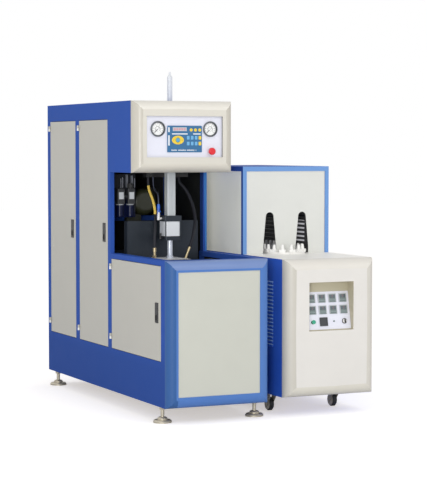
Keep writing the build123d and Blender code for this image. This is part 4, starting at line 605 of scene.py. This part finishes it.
# The black hose leaves its fitting along the fitting's own slanted axis
slant = math.radians(22)
tilted = Vector((math.sin(slant), 0, math.cos(slant)))
fitting_end = Vector((388, 606, 842)) + 68 * tilted
dark = hose("black_hose_line", [tuple(fitting_end), tuple(fitting_end + 46 * tilted), (449, 626, 1000),
                                (471, 656, 1055), (478, 692, 1115), (470, 720, 1172), (454, 738, 1218),
                                (430, 748, 1250), (408, 752, 1273), (408, 752, 1300)],
            0.018, black_rubber)
thin = hose("grey_hose_line", [(230, 626, 1150), (230, 626, 1172), (232, 634, 1192), (236, 654, 1208),
                               (242, 684, 1216), (247, 714, 1222), (250, 740, 1236), (250, 752, 1258),
                               (250, 752, 1300)], 0.007, grey_rubber)
for piece, node, length, diameter in ((bright, "yellow_hose", 0.438, 0.015), (dark, "black_hose", 0.455, 0.018),
                                      (thin, "grey_hose", 0.227, 0.007)):
    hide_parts(node)
    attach(piece, bodies[node])


# Small printed and fitted details that the CAD leaves plain. Each part is a list of corners and one of faces.
def block(x0, x1, y0, y1, z0, z1):
    corners = [(x, y, z) for z in (z0, z1) for y in (y0, y1) for x in (x0, x1)]
    return corners, [(0, 2, 3, 1), (4, 5, 7, 6), (0, 1, 5, 4), (2, 6, 7, 3), (0, 4, 6, 2), (1, 3, 7, 5)]


def flat(corners):
    return [tuple(corner) for corner in corners], [(0, 1, 2, 3)]


def turned(place, direction, profile, sides=24, roll=0.0, capped=True):
    """A turned shape: pairs of radius and height along a direction, closed by caps unless it is a ring."""
    turn = Vector(direction).to_track_quat("Z", "Y").to_matrix()
    corners, faces = [], []
    for radius, height in profile:
        for k in range(sides):
            angle = roll + 2 * math.pi * k / sides
            spot = turn @ Vector((radius * math.cos(angle), radius * math.sin(angle), height))
            corners.append(tuple(Vector(place) + spot))
    for ring in range(len(profile) - 1):
        for k in range(sides):
            a, b = ring * sides + k, ring * sides + (k + 1) % sides
            faces.append((a, b, b + sides, a + sides))
    if capped:
        faces.append(tuple(reversed(range(sides))))
        faces.append(tuple(range((len(profile) - 1) * sides, len(profile) * sides)))
    return corners, faces


def words(text, size, centre, out=FRONT, up=UP):
    """Flat lettering of a height in millimetres, centred at a place and facing out."""
    data = bpy.data.curves.new("words", "FONT")
    data.body, data.size, data.align_x, data.align_y = text, size, "CENTER", "CENTER"
    data.resolution_u = 2
    holder = bpy.data.objects.new("words", data)
    scene.collection.objects.link(holder)
    bpy.context.view_layer.update()
    mesh = bpy.data.meshes.new_from_object(holder.evaluated_get(bpy.context.evaluated_depsgraph_get()))
    bpy.data.objects.remove(holder)
    normal, rise = Vector(out).normalized(), Vector(up).normalized()
    across = rise.cross(normal)
    corners = [tuple(Vector(centre) + across * v.co.x + rise * v.co.y) for v in mesh.vertices]
    return corners, [tuple(polygon.vertices) for polygon in mesh.polygons]


def fitted(name, parts, material, node, smooth=False):
    """One piece made of several parts, which rides with a CAD node's body."""
    corners, faces = [], []
    for some_corners, some_faces in parts:
        faces.extend(tuple(i + len(corners) for i in face) for face in some_faces)
        corners.extend(tuple(at(*corner)) for corner in some_corners)
    mesh = bpy.data.meshes.new(name)
    mesh.from_pydata(corners, [], faces)
    mesh.update()
    piece = bpy.data.objects.new(name, mesh)
    scene.collection.objects.link(piece)
    mesh.materials.append(material)
    if smooth:
        mesh.shade_smooth()
        mesh.set_sharp_from_angle(angle=math.radians(35))
    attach(piece, bodies[node])
    return piece


# Dials: a scale of 50 steps over 270 degrees, with every fifth tick longer and every tenth one numbered
SCALE_START, SCALE_SWEEP, SCALE_STEPS = 225.0, 270.0, 50
TICK_END, LONG_TICK, SHORT_TICK = 33.0, 25.5, 29.5
FIGURE_RADIUS = 20.5
ARC_INNER, ARC_OUTER, ARC_STEP = 13.0, 15.0, 10.0
INK_LIFT, WORDS_LIFT = 0.15, 0.2
RING_PROFILE = [(37.4, 0.05), (37.4, 1.4), (34.2, 1.4), (34.2, 0.05)]
HUB_Y, HUB_PROFILE = 420.8, [(4, 0), (4, 1.6), (2.6, 2.4)]


def on_dial(x, angle, radius, lift):
    return x + radius * math.cos(angle), DIAL_Y - lift, DIAL_Z + radius * math.sin(angle)


def scale_angle(step, steps):
    return math.radians(SCALE_START - SCALE_SWEEP * step / steps)


marks, rings = [], []
for x in DIAL_XS:
    for k in range(SCALE_STEPS + 1):
        angle = scale_angle(k, SCALE_STEPS)
        inner, half_width = (LONG_TICK, 0.7) if k % 5 == 0 else (SHORT_TICK, 0.35)
        across = Vector((math.cos(angle), 0, math.sin(angle)))
        aside = Vector((-across.z, 0, across.x)) * half_width
        marks.append(flat(Vector((x, DIAL_Y - INK_LIFT, DIAL_Z)) + across * r + s * aside
                          for r, s in ((inner, -1), (inner, 1), (TICK_END, 1), (TICK_END, -1))))
    for k in range(0, 11, 2):
        marks.append(words(str(k * 4), 5.5, on_dial(x, scale_angle(k, 10), FIGURE_RADIUS, WORDS_LIFT)))
    marks.append(words("bar", 5.0, (x, DIAL_Y - WORDS_LIFT, DIAL_Z - 14)))
    for k in range(int(SCALE_SWEEP / ARC_STEP)):
        a, b = (math.radians(SCALE_START - ARC_STEP * (k + step)) for step in (0, 1))
        marks.append(flat(on_dial(x, t, r, INK_LIFT)
                          for r, t in ((ARC_INNER, a), (ARC_OUTER, a), (ARC_OUTER, b), (ARC_INNER, b))))
    rings.append(turned((x, DIAL_Y, DIAL_Z), FRONT, RING_PROFILE, 48, capped=False))
fitted("gauge_marks", marks, ink, "gauges")
fitted("gauge_rings", rings, ring_grey, "gauges", smooth=True)
for node, x in zip(("left_needle", "right_needle"), DIAL_XS):
    fitted(node + "_hub", [turned((x, HUB_Y, DIAL_Z), FRONT, HUB_PROFILE)], chrome, node, smooth=True)


# Keypad: print, digits of the display, and the round pad with its four arrows
def on_keypad(u0, u1, v0, v1, lift=0.15, depth=0.3):
    """A thin block on the keypad, by its reach to the right and up from the keypad's middle."""
    return block(KEYPAD_X + u0, KEYPAD_X + u1, KEYPAD_Y - lift - depth, KEYPAD_Y - lift, KEYPAD_Z + v0, KEYPAD_Z + v1)


strips = [on_keypad(-77, 17, 25, 31), on_keypad(51, 96, 25, 31), on_keypad(-100, -91, 38, 64),
          on_keypad(-100, -91, -36, 20)]
# A line of blocks along the lower edge, of four widths, some taller, and with gaps as between words
LINE_WIDTHS, LINE_GAP, LINE_BOTTOM, LINE_TOP = (4.6, 3.2, 5.2, 3.8), 1.6, -65, -59
u = -80.0
for k in range(26):
    width = LINE_WIDTHS[k % 4]
    if k % 9 != 6:
        strips.append(on_keypad(u, u + width, LINE_BOTTOM, LINE_TOP + (k % 3 == 0)))
    u += width + LINE_GAP
fitted("keypad_print", strips, print_white, "keypad")
DIGIT_LEFT, DIGIT_WIDTH, DIGIT_PITCH = -66, 10, 15
digits = [on_keypad(u, u + DIGIT_WIDTH, 48, 60, lift=1.75, depth=0.1)
          for u in (DIGIT_LEFT + DIGIT_PITCH * k for k in range(5))]
fitted("display_digits", digits, digit_pink, "keypad")
PAD_X, PAD_Y, PAD_Z = 259.0, KEYPAD_Y - 1.6, 1509.0
ARROW_ASIDE, ARROW_UP = 25, 16.5
fitted("pad_centre", [turned((PAD_X, PAD_Y, PAD_Z), FRONT, [(11, 0), (11, 1.0), (10, 1.5)], 32)], pad_blue, "keypad",
       smooth=True)
arrows = [turned((PAD_X + ARROW_ASIDE * math.cos(a), PAD_Y, PAD_Z + ARROW_UP * math.sin(a)), FRONT,
                 [(3, 0), (3, 0.2)], 3, roll=math.pi / 2) for a in (0, math.pi / 2, math.pi, 1.5 * math.pi)]
fitted("pad_ring", [turned((PAD_X, PAD_Y, PAD_Z), FRONT, [(13.5, 0), (13.5, 0.2)], 32)] + arrows, pad_olive, "keypad")

# Tie rods of the seal cylinder
ROD_OFFSET, ROD_RADIUS = 44, 3.6
fitted("seal_tie_rods", [turned((BLOW_X + sx * ROD_OFFSET, BLOW_Y + sy * ROD_OFFSET, BARREL_BOTTOM), UP,
                                [(ROD_RADIUS, 0), (ROD_RADIUS, BARREL_TOP - BARREL_BOTTOM)], 12)
                         for sx in (-1, 1) for sy in (-1, 1)], dark_steel, "seal_cylinder", smooth=True)

# Labels and collars of the air filters, and the ribs on their carrier
FILTER_XS = (112, 176)
LABEL_HALF, LABEL_FRONT, LABEL_BACK, LABEL_BOTTOM, LABEL_TOP = 15, 893.4, 894.2, 1172, 1212
COLLAR_Y, COLLAR_Z, COLLAR_PROFILE = 920, 1138, [(22.5, 0), (22.5, 9)]
RIB_HALF, RIB_FRONT, RIB_BACK, RIB_BOTTOM = 1.8, 939.5, 946.2, 1236
RIB_TOPS = ((128, 1290), (139, 1296), (161, 1312), (169, 1312), (192, 1306), (200, 1306), (213, 1290))
fitted("filter_labels", [block(x - LABEL_HALF, x + LABEL_HALF, LABEL_FRONT, LABEL_BACK, LABEL_BOTTOM, LABEL_TOP)
                         for x in FILTER_XS], print_white, "air_filters")
fitted("filter_collars", [turned((x, COLLAR_Y, COLLAR_Z), UP, COLLAR_PROFILE) for x in FILTER_XS], light_grey,
       "air_filters", smooth=True)
fitted("manifold_ribs", [block(x - RIB_HALF, x + RIB_HALF, RIB_FRONT, RIB_BACK, RIB_BOTTOM, top)
                         for x, top in RIB_TOPS], rib_grey, "air_filters")

# Collars of the levelling feet
FOOT_COLLAR_Z, FOOT_COLLAR_PROFILE = 15, [(27, 0), (27, 9), (23, 14), (19, 16)]
for node in FOOT_NODES:
    corners = spots_of(node)
    x, y = ((min(spot[i] for spot in corners) + max(spot[i] for spot in corners)) / 2 for i in (0, 1))
    fitted(node + "_collar", [turned((x, y, FOOT_COLLAR_Z), UP, FOOT_COLLAR_PROFILE, 32)], zinc, node,
           smooth=True)

# The louvres' dust screen, which glows a little: painted light behind the louvres' slots
fitted("louvre_screen", [block(700.2, 701.0, 100, 320, 362, 738)], screen_glow_blue, "heater_cabinet")

# Windows, figures and keys of the temperature controllers on the sloping panel, and a pilot lamp between the switches
SLOPE = 0.20464
OUT = Vector((0, -math.cos(SLOPE), math.sin(SLOPE)))
RISE = Vector((0, math.sin(SLOPE), math.cos(SLOPE)))
METER_WIDTH = 38.0
WINDOW_HALF, WINDOW_BOTTOM, WINDOW_TOP, WINDOW_LIFT = 17, -1, 17, 0.25
FIGURE_ROWS, FIGURE_LIFT = (("188", 8.5, 11.5), ("185", 6.0, 3)), 0.5
KEY_LEFT, KEY_WIDTH, KEY_PITCH, KEY_BOTTOM, KEY_TOP, KEY_LIFT = -16, 5.5, 8.5, -14, -10, 0.3
PILOT_X, PILOT_PROFILE = 999.15, [(5.5, 0), (5.5, 1.5), (4.0, 2.4)]


def tilted_plate(centre, u0, u1, v0, v1, lift):
    return flat(centre + Vector((u, 0, 0)) + RISE * v + OUT * lift for u, v in ((u0, v0), (u1, v0), (u1, v1), (u0, v1)))


# The corners of the faces that look out of the panel, for each connected piece
meter_mesh = nodes["meters"].data
fronts = {}
for polygon, (low, high) in zip(meter_mesh.polygons, places_of(meter_mesh)):
    if polygon.normal.dot(OUT) > 0.98:
        spots = [from_corner(meter_mesh.vertices[v].co) for v in polygon.vertices]
        fronts.setdefault(tuple(round(c, 4) for c in low), []).extend(spots)

windows, figures, keys = [], [], []
for spots in fronts.values():
    top = max(spot.dot(OUT) for spot in spots)
    spots = [spot for spot in spots if spot.dot(OUT) > top - 0.2]
    xs = [spot.x for spot in spots]
    rises = [spot.dot(RISE) for spot in spots]
    centre = Vector(((min(xs) + max(xs)) / 2, 0, 0)) + RISE * (min(rises) + max(rises)) / 2 + OUT * top
    if max(xs) - min(xs) < METER_WIDTH or centre.z < SWITCH_ROW_TOP:
        continue
    windows.append(tilted_plate(centre, -WINDOW_HALF, WINDOW_HALF, WINDOW_BOTTOM, WINDOW_TOP, WINDOW_LIFT))
    for figure, size, rise in FIGURE_ROWS:
        figures.append(words(figure, size, tuple(centre + RISE * rise + OUT * FIGURE_LIFT), tuple(OUT), tuple(RISE)))
    for k in range(4):
        u = KEY_LEFT + KEY_PITCH * k
        keys.append(tilted_plate(centre, u, u + KEY_WIDTH, KEY_BOTTOM, KEY_TOP, KEY_LIFT))

corners = spots_of("key_switch")
switch_low, switch_high = (Vector(limit(spot[i] for spot in corners) for i in range(3)) for limit in (min, max))
row = ((switch_low + switch_high) / 2).dot(RISE)
panel_face = max((vertex.co - CORNER).dot(OUT) / MM for vertex in nodes["meter_panel"].data.vertices)
pilot = turned(Vector((PILOT_X, 0, 0)) + RISE * row + OUT * (panel_face + 0.05), OUT, PILOT_PROFILE, 20)
fitted("panel_pilot", [pilot], meter_grey, "meter_panel", smooth=True)
fitted("meter_windows", windows, window_dark, "meters")
fitted("meter_figures", figures, figure_red, "meters")
fitted("meter_keys", keys, key_grey, "meters")

# World: white for the camera, behind glass and in mirrors, and dimmer as light
WORLD_LIGHT, WORLD_SEEN = 0.60, 1.0
world = bpy.data.worlds.new("world")
scene.world = world
world.use_nodes = True
tree = world.node_tree
background = tree.nodes["Background"]
set_inputs(background, {"Color": (1, 1, 1, 1)})
rays = new_node(tree, "LightPath")
direct = new_node(tree, "Math", operation="MAXIMUM")
link(tree, rays, "Is Camera Ray", direct, 0)
link(tree, rays, "Is Transmission Ray", direct, 1)
seen = new_node(tree, "Math", operation="MAXIMUM")
link(tree, direct, "Value", seen, 0)
link(tree, rays, "Is Glossy Ray", seen, 1)
strength = new_node(tree, "Mix", {MIX_NUMBER_A: WORLD_LIGHT, MIX_NUMBER_B: WORLD_SEEN}, data_type="FLOAT")
link(tree, seen, "Value", strength, MIX_FACTOR)
link(tree, strength, MIX_NUMBER_OUT, background, "Strength")


# Lights
def softbox(name, place, aim, size, power):
    light = bpy.data.lights.new(name, "AREA")
    light.shape = "RECTANGLE"
    light.size, light.size_y = size
    light.energy = power
    lamp = bpy.data.objects.new(name, light)
    scene.collection.objects.link(lamp)
    lamp.location = place
    lamp.rotation_euler = (Vector(aim) - Vector(place)).to_track_quat("-Z", "Y").to_euler()


softbox("key", (1.0, -5.5, 4.6), (0, -0.4, 0.9), (3.0, 2.5), 48)
softbox("front", (-4.4, -7.4, 1.25), (-0.2, -0.4, 1.0), (2.0, 1.6), 200)
softbox("side", (-5.5, -1.0, 3.0), (-0.4, 0, 0.9), (3.5, 3.0), 32)
softbox("fill", (4.5, -5.0, 2.6), (0.2, -0.5, 0.8), (3.0, 3.0), 30)

# Floor: for the camera it glows just so far that it is white but for the machine's shadow
bpy.ops.mesh.primitive_plane_add(size=60, location=(0, 0, 0))
floor = bpy.context.object
floor.name = "floor"
floor_paint, tree, shader = new_material("floor", {
    "Base Color": (0.9, 0.9, 0.9, 1), "Roughness": 0.9, "Specular IOR Level": 0.0})
rays = new_node(tree, "LightPath")
glow = new_node(tree, "Emission", {"Color": (1.0, 0.943, 0.887, 1), "Strength": 0.53})
matt = new_node(tree, "BsdfDiffuse", {"Color": (0.86, 0.88, 0.90, 1)})
both = new_node(tree, "AddShader")
link(tree, glow, "Emission", both, 0)
link(tree, matt, "BSDF", both, 1)
choice = new_node(tree, "MixShader")
link(tree, rays, "Is Camera Ray", choice, 0)
link(tree, shader, "BSDF", choice, 1)
link(tree, both, 0, choice, 2)
link(tree, choice, "Shader", tree.nodes["Material Output"], "Surface")
floor.data.materials.append(floor_paint)
floor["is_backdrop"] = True

scene.view_settings.view_transform = "Standard"
scene.cycles.use_denoising = True
scene.cycles.max_bounces = 8

low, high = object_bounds()
